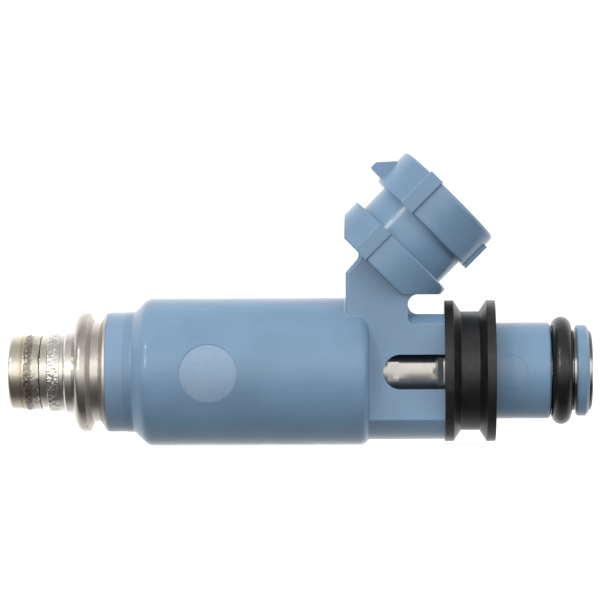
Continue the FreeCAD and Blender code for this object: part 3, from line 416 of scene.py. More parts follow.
class Effects:
    """The effects that several finishes share, each a node group built once."""

    def __init__(self) -> None:
        """Builds the groups."""
        self.turning = self._turning_lines()
        self.grain = self._fine_grain()
        self.scratches = self._scratches()
        self.specks = self._specks()

    @staticmethod
    def _turning_lines() -> Tree:
        """Lathe lines: noise of (x, distance from the axis) alone, so that it runs round every turned face."""
        g, inside, out, scale = new_group("turning_lines", ["Height"], Pitch_mm=0.05)
        x, y, z = g.axes(inside["Vector"])
        flat = g.add("CombineXYZ", None, X=x, Y=g.math("SQRT", g.plus(g.times(y, y), g.times(z, z))))
        g.fill(out, Height=g.noise(flat.outputs[0], scale, 2.0))
        return g.tree

    @staticmethod
    def _fine_grain() -> Tree:
        """Fine even grain with a slow change over it."""
        g, inside, out, scale = new_group("fine_grain", ["Height", "Drift"], Size_mm=0.1)
        g.fill(out, Height=g.noise(inside["Vector"], scale, 3.0),
               Drift=g.noise(inside["Vector"], g.times(scale, 0.03), 2.0))
        return g.tree

    @staticmethod
    def _scratches() -> Tree:
        """Fine stray scratches: two thin level lines of stretched noise, broken up by a slow mask."""
        g, inside, out, scale = new_group("stray_scratches", ["Mask"], Length_mm=4.0, Amount=0.5)
        marks = []
        for turn, stretch in (((0.4, 0.9, 0.3), (1.0, 9.0, 7.0)), ((-0.7, 0.2, 1.1), (8.0, 1.0, 9.0))):
            place = g.add("Mapping", None, Vector=inside["Vector"], Rotation=turn, Scale=stretch)
            off = g.math("ABSOLUTE", g.math("SUBTRACT", g.noise(place.outputs[0], scale, 1.0), 0.5))
            marks.append(g.span(off, 0.0, 0.006, 1.0, 0.0))
        patch = g.noise(inside["Vector"], g.times(scale, 1.3), 0.0)
        limit = g.math("SUBTRACT", 0.85, g.times(inside["Amount"], 0.4))
        where = g.math("GREATER_THAN", patch, limit)
        g.fill(out, Mask=g.times(g.math("MAXIMUM", *marks), where))
        return g.tree

    @staticmethod
    def _specks() -> Tree:
        """Scattered round specks: the cells of a Voronoi texture whose own random value passes a limit."""
        g, inside, out, scale = new_group("dust_specks", ["Mask"], Spacing_mm=1.0, Size=0.12, Share=0.2)
        cells = g.add("TexVoronoi", {"feature": "F1"}, Vector=inside["Vector"], Scale=scale)
        dot = g.math("LESS_THAN", cells.outputs["Distance"], inside["Size"])
        chosen = g.math("LESS_THAN", g.axes(cells.outputs["Color"])[0], inside["Share"])
        g.fill(out, Mask=g.times(dot, chosen))
        return g.tree


# Finishes

def rgba(colour: Colour) -> tuple[float, float, float, float]:
    """The colour with full alpha."""
    return (*colour, 1.0)


class Surface(Graph):
    """A new material's graph, with its Principled shader and the Object coordinates."""

    def __init__(self, name: str) -> None:
        """Starts the material."""
        self.material = bpy.data.materials.new(name)
        self.material.use_nodes = True
        super().__init__(self.material.node_tree)
        self.shader = self.tree.nodes["Principled BSDF"]
        self.place = self.add("TexCoord").outputs["Object"]

    def effect(self, tree: Tree, **inputs) -> bpy.types.bpy_prop_collection:
        """Outputs of a shared effect placed on the Object coordinates."""
        node = self.add("Group", {"node_tree": tree})
        self.fill(node, Vector=self.place, **inputs)
        return node.outputs

    def wear(self, colour, rough, **others) -> None:
        """Gives the shader its colour, roughness and other inputs, and keeps the first two for a later change."""
        self.colour, self.rough = colour, rough
        self.fill(self.shader, Base_Color=colour, Roughness=rough, **others)

    def around(self, value, middle: float, down: float, up: float) -> Socket:
        """A value of 0.3 to 0.7 spread from below to above a middle."""
        return self.span(value, 0.3, 0.7, middle - down, middle + up)


@dataclass(frozen=True)
class Finish:
    """What the finishes share: a name, and a material drawn on a new surface."""

    name: str

    def material(self, effects: Effects) -> Material:
        """Builds the material from the shared effects."""
        surface = Surface(self.name)
        self.draw(surface, effects)
        return surface.material

    def draw(self, s: Surface, effects: Effects) -> None:
        """Draws the finish; each kind has its own."""
        raise NotImplementedError


@dataclass(frozen=True)
class MouldedPlastic(Finish):
    """Satin moulded plastic with fine grain, faint flow, stray scratches and specks."""

    colour: Colour
    roughness: float = 0.22
    grain_mm: float = 0.09
    marks: float = 0.1

    def draw(self, s: Surface, effects: Effects) -> None:
        """Draws the finish.

        Args:
            s: The new surface.
            effects: The shared effects.
        """
        grain = s.effect(effects.grain, Size_mm=self.grain_mm)
        flow = s.noise(s.place, 1 / (6 * MM), 2.0)
        scratch = s.effect(effects.scratches, Length_mm=5.0, Amount=self.marks)["Mask"]
        speck = s.effect(effects.specks, Spacing_mm=1.7, Size=0.035, Share=0.25)["Mask"]
        dark = rgba(tuple(c * 0.94 for c in self.colour))
        light = rgba(tuple(c * 1.05 for c in self.colour))
        pale = rgba(tuple(0.55 * c + 0.35 for c in self.colour))
        base = s.mix(s.span(flow, 0.3, 0.7), dark, light)
        marked = s.mix(s.times(s.math("MAXIMUM", scratch, speck), 0.3), base, pale)
        s.wear(marked, s.around(grain["Drift"], self.roughness, 0.04, 0.05),
               Normal=s.bump(grain["Height"], 0.004, 0.3), IOR=1.5)


@dataclass(frozen=True)
class BodyPlastic(MouldedPlastic):
    """The main moulding's plastic: a polished stem, a milky front neck and matte ejector marks."""

    stem_x_mm: float = 40.0
    front_x_mm: float = 6.0
    discs: tuple[tuple[float, float, float], ...] = ()  # (x, radius, paleness) of each ejector mark, in mm
    milky: Colour = (0.42, 0.47, 0.62)
    disc_tint: Colour = (0.40, 0.49, 0.60)

    def draw(self, s: Surface, effects: Effects) -> None:
        """Draws the finish.

        Args:
            s: The new surface.
            effects: The shared effects.
        """
        super().draw(s, effects)
        x, y, z = s.axes(s.place)
        stem = s.span(x, (self.stem_x_mm - 0.1) * MM, (self.stem_x_mm + 0.1) * MM)
        front = s.span(x, (self.front_x_mm - 0.05) * MM, (self.front_x_mm + 0.05) * MM, 1.0, 0.0)
        colour = s.mix(s.times(front, 0.10), s.colour, rgba(self.milky))
        rough = s.math("SUBTRACT", s.rough, s.times(stem, 0.04))
        near_side = s.math("LESS_THAN", y, 0.0)
        mottle = s.span(s.noise(s.place, 1 / (0.5 * MM), 3.0), 0.3, 0.7, 0.75, 1.0)
        for disc_x, radius, paleness in self.discs:
            across = s.math("SUBTRACT", x, disc_x * MM)
            away = s.math("SQRT", s.plus(s.times(across, across), s.times(z, z)))
            inside = s.times(s.span(away, (radius - 0.05) * MM, (radius + 0.01) * MM, 1.0, 0.0), near_side)
            colour = s.mix(s.times(s.times(inside, mottle), paleness), colour, rgba(self.disc_tint))
            rough = s.plus(rough, s.times(inside, 0.12))
        s.wear(colour, rough)


@dataclass(frozen=True)
class TurnedSteel(Finish):
    """Steel turned on a lathe: a warm metal with lines round it, satin grain, pits and slight stains, and, where
    asked, painted shade above and below the axis.
    """

    colour: Colour = (0.66, 0.62, 0.56)
    roughness: float = 0.2
    pitch_mm: float = 0.05
    depth_mm: float = 0.0015
    grain_depth_mm: float = 0.001
    stain: float = 0.12
    pits: float = 0.1
    pit_tint: Colour = (0.12, 0.10, 0.08)
    satin_mm: tuple[float, float] = (1.0, 0.0)  # from and to along the axis, where the surface is blasted
    satin_tint: Colour = (0.85, 0.82, 0.77)
    painted_shade_mm: float = 0.0  # height above and below the axis past which the colour is painted darker, as painted shade from the walls of the body's windows; 0 for none
    painted_shade_tint: Colour = (0.10, 0.09, 0.08)

    def draw(self, s: Surface, effects: Effects) -> None:
        """Draws the finish.

        Args:
            s: The new surface.
            effects: The shared effects.
        """
        lines = s.effect(effects.turning, Pitch_mm=self.pitch_mm)["Height"]
        relief = s.effect(effects.grain, Size_mm=0.1)["Height"]
        pit = s.effect(effects.specks, Spacing_mm=0.9, Size=0.07, Share=self.pits)["Mask"]
        stain = s.span(s.noise(s.place, 1 / (2.5 * MM), 4.0), 0.45, 0.75)
        dull = rgba(tuple(c * (1 - self.stain) for c in self.colour))
        colour = s.mix(s.times(pit, 0.6), s.mix(stain, rgba(self.colour), dull), rgba(self.pit_tint))
        rough = s.span(lines, 0.3, 0.7, self.roughness * 0.75, self.roughness * 1.3)
        x, _, z = s.axes(s.place)
        if self.satin_mm[0] < self.satin_mm[1]:
            behind = s.math("GREATER_THAN", x, self.satin_mm[0] * MM)
            satin = s.times(behind, s.math("LESS_THAN", x, self.satin_mm[1] * MM))
            rough = s.plus(rough, s.times(satin, 0.22))
            relief = s.times(relief, s.plus(s.times(satin, 4.0), 1.0))
            colour = s.mix(s.times(satin, 0.35), colour, rgba(self.satin_tint))
        # painted shade: the colour darkens away from the axis, standing in for the shade that the window walls cast
        # on the tube
        if self.painted_shade_mm:
            far = s.span(s.math("ABSOLUTE", z), self.painted_shade_mm * MM, self.painted_shade_mm * 1.7 * MM)
            colour = s.mix(s.times(far, 0.8), colour, rgba(self.painted_shade_tint))
        fine = s.bump(relief, self.grain_depth_mm)
        s.wear(colour, rough, Normal=s.bump(lines, self.depth_mm, Normal=fine), Metallic=1.0)


@dataclass(frozen=True)
class HeatTintedSteel(TurnedSteel):
    """Turned steel beside a weld: streaky bands of straw, brown and grey oxide along the axis."""

    bands: tuple[tuple[float, Colour, float], ...] = ()  # (x in mm, tint, how strongly it covers)

    def draw(self, s: Surface, effects: Effects) -> None:
        """Draws the finish.

        Args:
            s: The new surface.
            effects: The shared effects.
        """
        super().draw(s, effects)
        first, last = self.bands[0][0], self.bands[-1][0]
        wander = s.times(s.math("SUBTRACT", s.noise(s.place, 1 / (0.8 * MM), 4.0, 0.7), 0.5), 0.25 * MM)
        share = s.span(s.plus(s.axes(s.place)[0], wander), first * MM, last * MM, smooth=False)
        tint, cover = (s.ramp(share, [((x - first) / (last - first), pick) for x, pick in column]) for column in (
            [(x, tint) for x, tint, _ in self.bands], [(x, (amount,) * 3) for x, _, amount in self.bands]))
        stretched = s.add("Mapping", None, Vector=s.place, Scale=(0.35, 1.0, 1.0))
        streak = s.span(s.noise(stretched.outputs[0], 1 / (0.22 * MM), 3.0, 0.6), 0.3, 0.75, 0.55, 1.0)
        amount = s.times(cover, streak)
        s.wear(s.mix(amount, s.colour, tint), s.plus(s.rough, s.times(amount, 0.22)))


@dataclass(frozen=True)
class BlackRubber(Finish):
    """Moulded black rubber: matte or waxy, slightly mottled, with a little grey dust."""

    colour: Colour = (0.006, 0.006, 0.0062)
    roughness: float = 0.36
    dust: float = 0.12
    grain_depth_mm: float = 0.006

    def draw(self, s: Surface, effects: Effects) -> None:
        """Draws the finish.

        Args:
            s: The new surface.
            effects: The shared effects.
        """
        grain = s.effect(effects.grain, Size_mm=0.12)
        speck = s.effect(effects.specks, Spacing_mm=0.7, Size=0.06, Share=0.3)["Mask"]
        bloom = s.span(s.noise(s.place, 1 / (1.1 * MM), 5.0, 0.7), 0.45, 0.8)
        grey = rgba(tuple(c * 2.4 + 0.004 for c in self.colour))
        base = s.mix(bloom, rgba(self.colour), grey)
        s.wear(s.mix(s.times(speck, self.dust), base, (0.5, 0.5, 0.48, 1)),
               s.around(grain["Drift"], self.roughness, 0.05, 0.07),
               Normal=s.bump(grain["Height"], self.grain_depth_mm, 0.6))


@dataclass(frozen=True)
class Nylon(Finish):
    """Natural moulded nylon: milky, with flow marks and a fine grain."""

    colour: Colour
    roughness: float = 0.42

    def draw(self, s: Surface, effects: Effects) -> None:
        """Draws the finish.

        Args:
            s: The new surface.
            effects: The shared effects.
        """
        grain = s.effect(effects.grain, Size_mm=0.15)
        flow = s.span(s.noise(s.place, 1 / (1.8 * MM), 3.0), 0.3, 0.7)
        warm = rgba(tuple(c * k for c, k in zip(self.colour, (1.0, 0.93, 0.8))))
        s.wear(s.mix(flow, rgba(self.colour), warm), s.around(grain["Drift"], self.roughness, 0.06, 0.06),
               Normal=s.bump(grain["Height"], 0.005, 0.5))


@dataclass(frozen=True)
class EnamelledCopper(Finish):
    """Copper wire under a clear enamel, whose colour changes a little from turn to turn."""

    dark: Colour = (0.50, 0.15, 0.05)
    light: Colour = (0.68, 0.27, 0.12)

    def draw(self, s: Surface, effects: Effects) -> None:
        """Draws the finish.

        Args:
            s: The new surface.
            effects: The shared effects.
        """
        lines = s.effect(effects.turning, Pitch_mm=0.3)["Height"]
        drift = s.effect(effects.grain, Size_mm=0.3)["Drift"]
        s.wear(s.mix(s.span(lines, 0.35, 0.65), rgba(self.dark), rgba(self.light)),
               s.span(drift, 0.3, 0.7, 0.18, 0.32), Metallic=0.85, Coat_Weight=0.6, Coat_Roughness=0.1)


@dataclass(frozen=True)
class PolyesterTape(Finish):
    """Amber polyester tape with slight creases."""

    dark: Colour = (0.50, 0.34, 0.05)
    light: Colour = (0.62, 0.46, 0.10)

    def draw(self, s: Surface, effects: Effects) -> None:
        """Draws the finish.

        Args:
            s: The new surface.
            effects: The shared effects.
        """
        crease = s.noise(s.place, 1 / (0.9 * MM), 4.0, 0.6)
        drift = s.effect(effects.grain, Size_mm=0.2)["Drift"]
        s.wear(s.mix(s.span(crease, 0.3, 0.7), rgba(self.dark), rgba(self.light)),
               s.span(drift, 0.3, 0.7, 0.2, 0.32), Normal=s.bump(crease, 0.02, 0.6))


@dataclass(frozen=True)
class TinnedBrass(Finish):
    """Brass blade under dull tin that has rubbed through in places."""

    tin: Colour = (0.68, 0.66, 0.61)
    brass: Colour = (0.70, 0.52, 0.22)

    def draw(self, s: Surface, effects: Effects) -> None:
        """Draws the finish.

        Args:
            s: The new surface.
            effects: The shared effects.
        """
        wear = s.span(s.noise(s.place, 1 / (0.7 * MM), 5.0, 0.7), 0.6, 0.72)
        scratch = s.effect(effects.scratches, Length_mm=2.0, Amount=0.9)["Mask"]
        grain = s.effect(effects.grain, Size_mm=0.08)
        worn = s.math("MAXIMUM", s.times(wear, 0.6), scratch)
        s.wear(s.mix(worn, rgba(self.tin), rgba(self.brass)), s.span(grain["Drift"], 0.3, 0.7, 0.28, 0.4),
               Normal=s.bump(grain["Height"], 0.003, 0.5), Metallic=1.0)


# Studio


@dataclass(frozen=True)
class SoftBox:
    """One rectangular lamp, aimed at a point; unless it is mirrored, it only lights surfaces."""

    name: str
    place: tuple[float, float, float]
    size: tuple[float, float]
    power: float
    aim: tuple[float, float, float] = (0.025, 0.0, 0.003)
    mirrored: bool = False

    def build(self) -> None:
        """Adds the lamp to the scene."""
        lamp = bpy.data.lights.new(self.name, "AREA")
        lamp.shape = "RECTANGLE"
        lamp.size, lamp.size_y = self.size
        lamp.energy = self.power
        holder = bpy.data.objects.new(self.name, lamp)
        holder.location = self.place
        towards = Vector(self.aim) - Vector(self.place)
        holder.rotation_euler = towards.to_track_quat("-Z", "Y").to_euler()
        holder.visible_glossy = self.mirrored
        bpy.context.scene.collection.objects.link(holder)


@dataclass(frozen=True)
class Studio:
    """Camera, pale floor, soft lamps and the light tent's own light."""

    distance: float = 0.330
    centre: tuple[float, float] = (0.02463, 0.00779)
    camera_x: float = 0.0360  # the camera stands a little towards the rail end, turned to the centre
    lens_mm: float = 181.4
    roll_degrees: float = -0.28
    floor_half: float = 3.0
    # the tent's brightness by angle in degrees: 0 is level in front, 90 overhead, 180 level behind
    tent: tuple[tuple[float, float], ...] = (
        (-180, 1.3), (-150, 1.15), (-120, 0.75), (-100, 0.42), (-83, 0.15), (-67, 0.11), (-52, 0.11),
        (-39, 0.16), (-26, 0.3), (-13, 0.68), (-3, 1.35), (24, 1.65), (36, 1.15), (49, 0.82), (63, 0.67),
        (78, 0.62), (96, 0.6), (117, 1.0), (148, 1.35), (180, 1.35))
    tent_limit: float = 2.0
    backdrop: Colour = (0.55, 0.55, 0.55)
    floor_tints: tuple[Colour, Colour] = ((0.33, 0.33, 0.33), (0.36, 0.36, 0.36))
    floor_glow: float = 0.86
    lamps: tuple[SoftBox, ...] = (
        SoftBox("overhead_softbox", (0.02, -0.10, 0.42), (0.5, 0.35), 0.6),
        SoftBox("left_softbox", (-0.25, -0.12, 0.25), (0.2, 0.2), 0.17),
        SoftBox("right_softbox", (0.30, -0.16, 0.03), (0.12, 0.12), 0.16),
        SoftBox("left_strip", (-0.197, -0.316, 0.112), (0.035, 0.10), 0.2, mirrored=True),
        SoftBox("upper_left_strip", (-0.188, -0.246, 0.238), (0.03, 0.05), 0.12, mirrored=True))

    def build(self) -> None:
        """Builds the whole studio."""
        self._camera()
        self._tent()
        self._floor()
        for lamp in self.lamps:
            lamp.build()
        bpy.context.scene.view_settings.view_transform = "Standard"

    def _camera(self) -> None:
        """Camera level with the injector, looking along +Y."""
        lens = bpy.data.cameras.new("camera")
        lens.lens = self.lens_mm
        lens.clip_start = 0.01
        camera = bpy.data.objects.new("camera", lens)
        place = Vector((self.camera_x, -self.distance, self.centre[1]))
        towards = Vector((self.centre[0], 0.0, self.centre[1])) - place
        turn = towards.to_track_quat("-Z", "Y").to_matrix().to_4x4()
        roll = Matrix.Rotation(math.radians(self.roll_degrees), 4, "Z")
        camera.matrix_world = Matrix.Translation(place) @ turn @ roll
        bpy.context.scene.collection.objects.link(camera)
        bpy.context.scene.camera = camera

    def _tent(self) -> None:
        """World light by the direction's angle round the X axis: bright strip in front, dark below it."""
        world = bpy.data.worlds.new("light_tent")
        bpy.context.scene.world = world
        world.use_nodes = True
        g = Graph(world.node_tree)
        _, y, z = g.axes(g.add("TexCoord").outputs["Generated"])
        turn = g.plus(g.math("DIVIDE", g.math("ARCTAN2", z, g.times(y, -1.0)), 2 * math.pi), 0.5)
        light = g.ramp(turn, [((degrees + 180) / 360, (level / self.tent_limit,) * 3)
                              for degrees, level in self.tent])
        seen = g.add("LightPath").outputs["Is Camera Ray"]
        g.fill(world.node_tree.nodes["Background"], Color=g.mix(seen, light, rgba(self.backdrop)),
               Strength=self.tent_limit)

    def _floor(self) -> None:
        """Pale floor just under the injector. It throws no light back, so the metal keeps its dark lower band."""
        half, z = self.floor_half, CAD_BOX[0].z
        mesh = bpy.data.meshes.new("floor")
        corners = [(-half, -half, z), (half, -half, z), (half, half, z), (-half, half, z)]
        mesh.from_pydata(corners, [], [(0, 1, 2, 3)])
        floor = bpy.data.objects.new("floor", mesh)
        bpy.context.scene.collection.objects.link(floor)
        s = Surface("pale_floor")
        s.wear(s.mix(s.noise(s.place, 60.0), *(rgba(tint) for tint in self.floor_tints)), 0.9,
               Emission_Color=rgba((1, 1, 1)), Emission_Strength=self.floor_glow)
        mesh.materials.append(s.material)
        floor.visible_glossy = False
        floor.visible_diffuse = False
        floor.visible_shadow = False


def dress(finishes: Finishes, **nodes: str) -> None:
    """Gives frame nodes their materials.

    Args:
        finishes: Every finish, by name.
        **nodes: The finish's name for each node.
    """
    for node, finish in nodes.items():
        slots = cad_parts[node].data.materials
        slots.clear()
        slots.append(finishes[finish])
        LOG.info("dressed %s in %s", node, finish)


def settle(piece: bpy.types.Object, material: Material, slot: Slot, *replaced: str,
           body: Body = Body.INJECTOR) -> None:
    """Gives a new piece its material and body, and hides the nodes it stands for.

    Args:
        piece: The new piece.
        material: Its finish.
        slot: The record's slot that its finish belongs to; not used.
        *replaced: Nodes that it replaces.
        body: The body it moves with.
    """
    piece.data.materials.append(material)
    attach(piece, body.value)
    if replaced:
        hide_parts(*replaced)
    LOG.info("built %s on %s, %d faces", piece.name, body.value, len(piece.data.polygons))


def turn_piece(name: str, outline: Array, around: int, material: Material, slot: Slot, node: str,
               relief: Optional[Relief] = None, sharp: float = 30.0) -> None:
    """Builds a turned piece in place of a frame node; see turned for the formula.

    Args:
        name: The piece's name.
        outline: Its closed outline, rows of (x, r) in mm.
        around: Steps round the axis.
        material: Its finish.
        slot: The record's slot that its finish belongs to.
        node: The node it replaces.
        relief: Height to add to r, from x, r and the angle.
        sharp: Angle in degrees past which an edge stays sharp.
    """
    settle(mesh_object(name, [(turned(outline, around, relief), True)], sharp), material, slot, node)


def box_mm(node: str) -> tuple[float, float, float]:
    """A turned node's first and last x and its largest radius, in mm."""
    low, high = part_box(node)
    return low[0] / MM, high[0] / MM, high[2] / MM


@dataclass
class SprayTip:
    """Cap, holder and valve body: the steel spigot with its two welds, and what it clamps."""

    cap_wall: float = 0.45
    cap_end_wall: float = 0.7
    mouth: float = 1.9
    corner: float = 0.4
    weld_x: float = -4.95
    weld_height: float = 0.13
    weld_half_width: float = 0.42
    weld_waver: float = 0.08
    weld_lumps: float = 0.035
    spatter_reach: float = 0.75
    spatter: tuple[float, float, float] = (0.03, 0.018, 0.012)  # height, its waves and its lumps
    burr_reach: float = 0.1
    burr: tuple[float, float, float] = (0.05, 0.08, 0.11)  # height, its waves and its limit
    holder_fit: float = 3.5
    holder_bore: float = 2.2
    holder_band: float = 0.8
    bead_width: float = 1.4
    bead_height: float = 0.07
    bead_lumps: float = 0.028
    bead_folds: float = 0.034
    front_radius: float = 4.2
    collar_front: float = -1.05
    collar_chamfer: float = 0.3
    collar_back: float = 6.0
    throat: float = 2.6
    tube_wall: float = 0.55
    throat_back: float = 8.5

    def build(self, finishes: Finishes) -> None:
        """Builds and dresses the spigot.

        Args:
            finishes: Every finish, by name.
        """
        self._cap(finishes["heat_tinted_steel"])
        self._holder(finishes["bright_steel"])
        self._valve_body(finishes["weld_steel"])
        dress(finishes, orifice_plate="bright_steel", valve_seat="hardened_steel",
              lift_stop_plate="hardened_steel", nonmagnetic_sleeve="bright_steel")

    def _cap(self, material: Material) -> None:
        """Thin cup; its weld stands up as a ragged ring, with a thin burr at the open edge.

        Args:
            material: Its finish.
        """
        tip, back, _ = box_mm("nozzle_cap")
        radius = box_mm("orifice_plate")[2] + self.cap_wall
        bore = radius - self.cap_wall
        inside = tip + self.cap_end_wall
        outline = refined([
            (tip, self.mouth, self.corner / 2), (tip, radius, self.corner), (back, radius, 0.05),
            (back, bore), (inside, bore), (inside, self.mouth)], 0.5, [(tip + 1.2, back - 0.02, 0.045)])

        def relief(x: Array, r: Array, angles: Array) -> Array:
            """Weld hump with a ragged crest, lumps behind it and a burr at the back edge."""
            outside = r > radius - 0.06
            lumps = lattice_noise(x, angles, 0.16, 150, 3)
            waves = lattice_noise(x, angles, 0.5, 44, 4)
            weld = hump(x + self.weld_waver * waves, self.weld_x, self.weld_half_width)
            weld = weld * (self.weld_height + self.weld_lumps * lumps)
            level, wavy, lumpy = self.spatter
            behind = hump(x, self.weld_x + self.spatter_reach, self.spatter_reach)
            behind = behind * (level + wavy * waves + lumpy * lumps)
            level, wavy, limit = self.burr
            burr = hump(x, back - 0.08, self.burr_reach) * np.clip(level + wavy * waves, 0, limit)
            return outside * (weld + behind + burr)

        turn_piece("spray_cap", outline, 420, material, Slot.STAINLESS, "nozzle_cap", relief)

    def _holder(self, material: Material) -> None:
        """Tube that carries the seat; its band shows between the cap and the second weld.

        Args:
            material: Its finish.
        """
        _, back, radius = box_mm("nozzle_holder")
        front, seat_back, seat_radius = box_mm("valve_seat")
        cap_back = box_mm("nozzle_cap")[1]
        cap_bore = box_mm("orifice_plate")[2]
        step = cap_back + self.holder_band
        outline = refined([
            (front, seat_radius), (front, cap_bore, 0.1), (cap_back, cap_bore), (cap_back, radius, 0.12),
            (step, radius), (step, self.holder_fit), (back, self.holder_fit), (back, self.holder_bore),
            (seat_back, self.holder_bore), (seat_back, seat_radius)], 0.4)
        turn_piece("seat_holder", outline, 160, material, Slot.STAINLESS, "nozzle_holder")

    def _valve_body(self, material: Material) -> None:
        """Stepped tube whose front edge is a crinkled weld bead, then a polished collar.

        Args:
            material: Its finish.
        """
        front, back, collar = box_mm("valve_body")
        bead = self.front_radius + self.bead_height
        bead_back = front + self.bead_width
        tube = box_mm("nonmagnetic_sleeve")[2]
        plate_back = box_mm("lift_stop_plate")[1]
        chamfer = self.collar_chamfer
        outline = refined([
            (front, self.holder_fit), (front, bead, 0.25), (bead_back, bead, 0.05),
            (bead_back + self.bead_height, self.front_radius), (self.collar_front, self.front_radius),
            (self.collar_front + chamfer, collar, 0.06), (self.collar_back, collar), (self.collar_back, tube),
            (back, tube), (back, tube - self.tube_wall), (self.throat_back, tube - self.tube_wall),
            (self.throat_back, self.throat), (plate_back, self.throat), (plate_back, self.holder_fit)],
            0.6, [(front, bead_back + 0.15, 0.04)])

        def relief(x: Array, r: Array, angles: Array) -> Array:
            """Frozen weld ripples: small lumps over larger folds, dying out at both edges of the bead."""
            outside = (r > self.front_radius - 0.3) & (x < bead_back + 0.1)
            lumps = lattice_noise(x, angles, 0.13, 190, 11)
            folds = lattice_noise(x + 0.1 * lumps, angles, 0.3, 80, 12)
            fade = hump(x, (front + bead_back) / 2, self.bead_width * 0.62)
            return outside * fade ** 0.5 * (self.bead_lumps * lumps + self.bead_folds * folds)

        turn_piece("welded_valve_body", outline, 520, material, Slot.STAINLESS, "valve_body", relief)


@dataclass
class PortSeat:
    """Stop ring and the yoke's steel that shows behind it."""

    face: float = 0.45
    cone: float = 0.633
    corner: float = 0.8
    chamfer: tuple[float, float] = (0.45, 1.0)
    unevenness: float = 0.012
    nick_degrees: float = 208.0
    nick_depth: float = 0.16

    def build(self, finishes: Finishes) -> None:
        """Builds and dresses the seat.

        Args:
            finishes: Every finish, by name.
        """
        front, back, radius = box_mm("stop_ring")
        bore = box_mm("valve_body")[2]
        outline = refined([
            (front, bore), (front, bore + self.face, 0.1), (front + self.cone, radius, self.corner),
            (back - self.chamfer[0], radius, 0.06), (back, radius - self.chamfer[1]), (back, bore)], 0.16)

        def relief(x: Array, r: Array, angles: Array) -> Array:
            """Slight unevenness, and a nick in the rear chamfer below the front."""
            nick = hump(angles, np.radians(self.nick_degrees), 0.05) * hump(x, back - 0.3, 0.35)
            uneven = self.unevenness * lattice_noise(x, angles, 0.7, 40, 21)
            return (r > bore + 0.2) * (uneven - self.nick_depth * nick)

        turn_piece("port_stop_ring", outline, 320, finishes["satin_steel"], Slot.STAINLESS, "stop_ring", relief)
        dress(finishes, yoke_housing="yoke_steel", yoke_plate="magnetic_steel")


@dataclass
class MouldedBody:
    """The blue moulding and its parting line."""

    line_radius: float = 0.035
    line_rises: tuple[float, float] = (0.2, -0.12)
    line_start: float = 6.6  # behind the stop ring, where the barrel has its full radius
    line_end: float = 24.6
    line_points: int = 60
    line_sides: int = 6

    def build(self, finishes: Finishes) -> None:
        """Builds and dresses the moulding."""
        dress(finishes, overmold_body="body_plastic")
        self._parting_line(finishes["blue_plastic"])

    def _parting_line(self, material: Material) -> None:
        """Pairs of hair-fine ridges along both sides of the barrel, where the mould's halves met.

        Each ridge is a tube whose path runs straight along the barrel, half sunk in it.

        Args:
            material: Its finish.
        """
        radius = -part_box("overmold_body")[0][2] / MM
        start = box_mm("stop_ring")[1] + self.line_start
        runs = [(start, DISC_X - DISC_RADIUS, 1.0), (DISC_X + DISC_RADIUS, self.line_end, 0.5)]
        turn = np.linspace(0, 2 * np.pi, self.line_sides, endpoint=False)
        ring = np.stack([0 * turn, np.cos(turn), np.sin(turn)], axis=1)
        grids = []
        for side, rise, (low, high, share) in itertools.product((-1, 1), self.line_rises, runs):
            x = np.linspace(low, high, self.line_points)
            size = self.line_radius * share
            y = side * (np.sqrt(radius ** 2 - rise ** 2) - 0.5 * size) * np.ones_like(x)
            path = np.stack([x, y, rise + 0.01 * np.sin(x * 1.7)], axis=1)
            swell = size * np.clip(np.minimum(x - low, high - x) * 2, 0.05, 1)[:, None, None]
            grids.append((path[:, None, :] + swell * ring[None, :, :], False))
        settle(mesh_object("mould_parting_line", grids, 38.0), material, Slot.BLUE_PLASTIC)


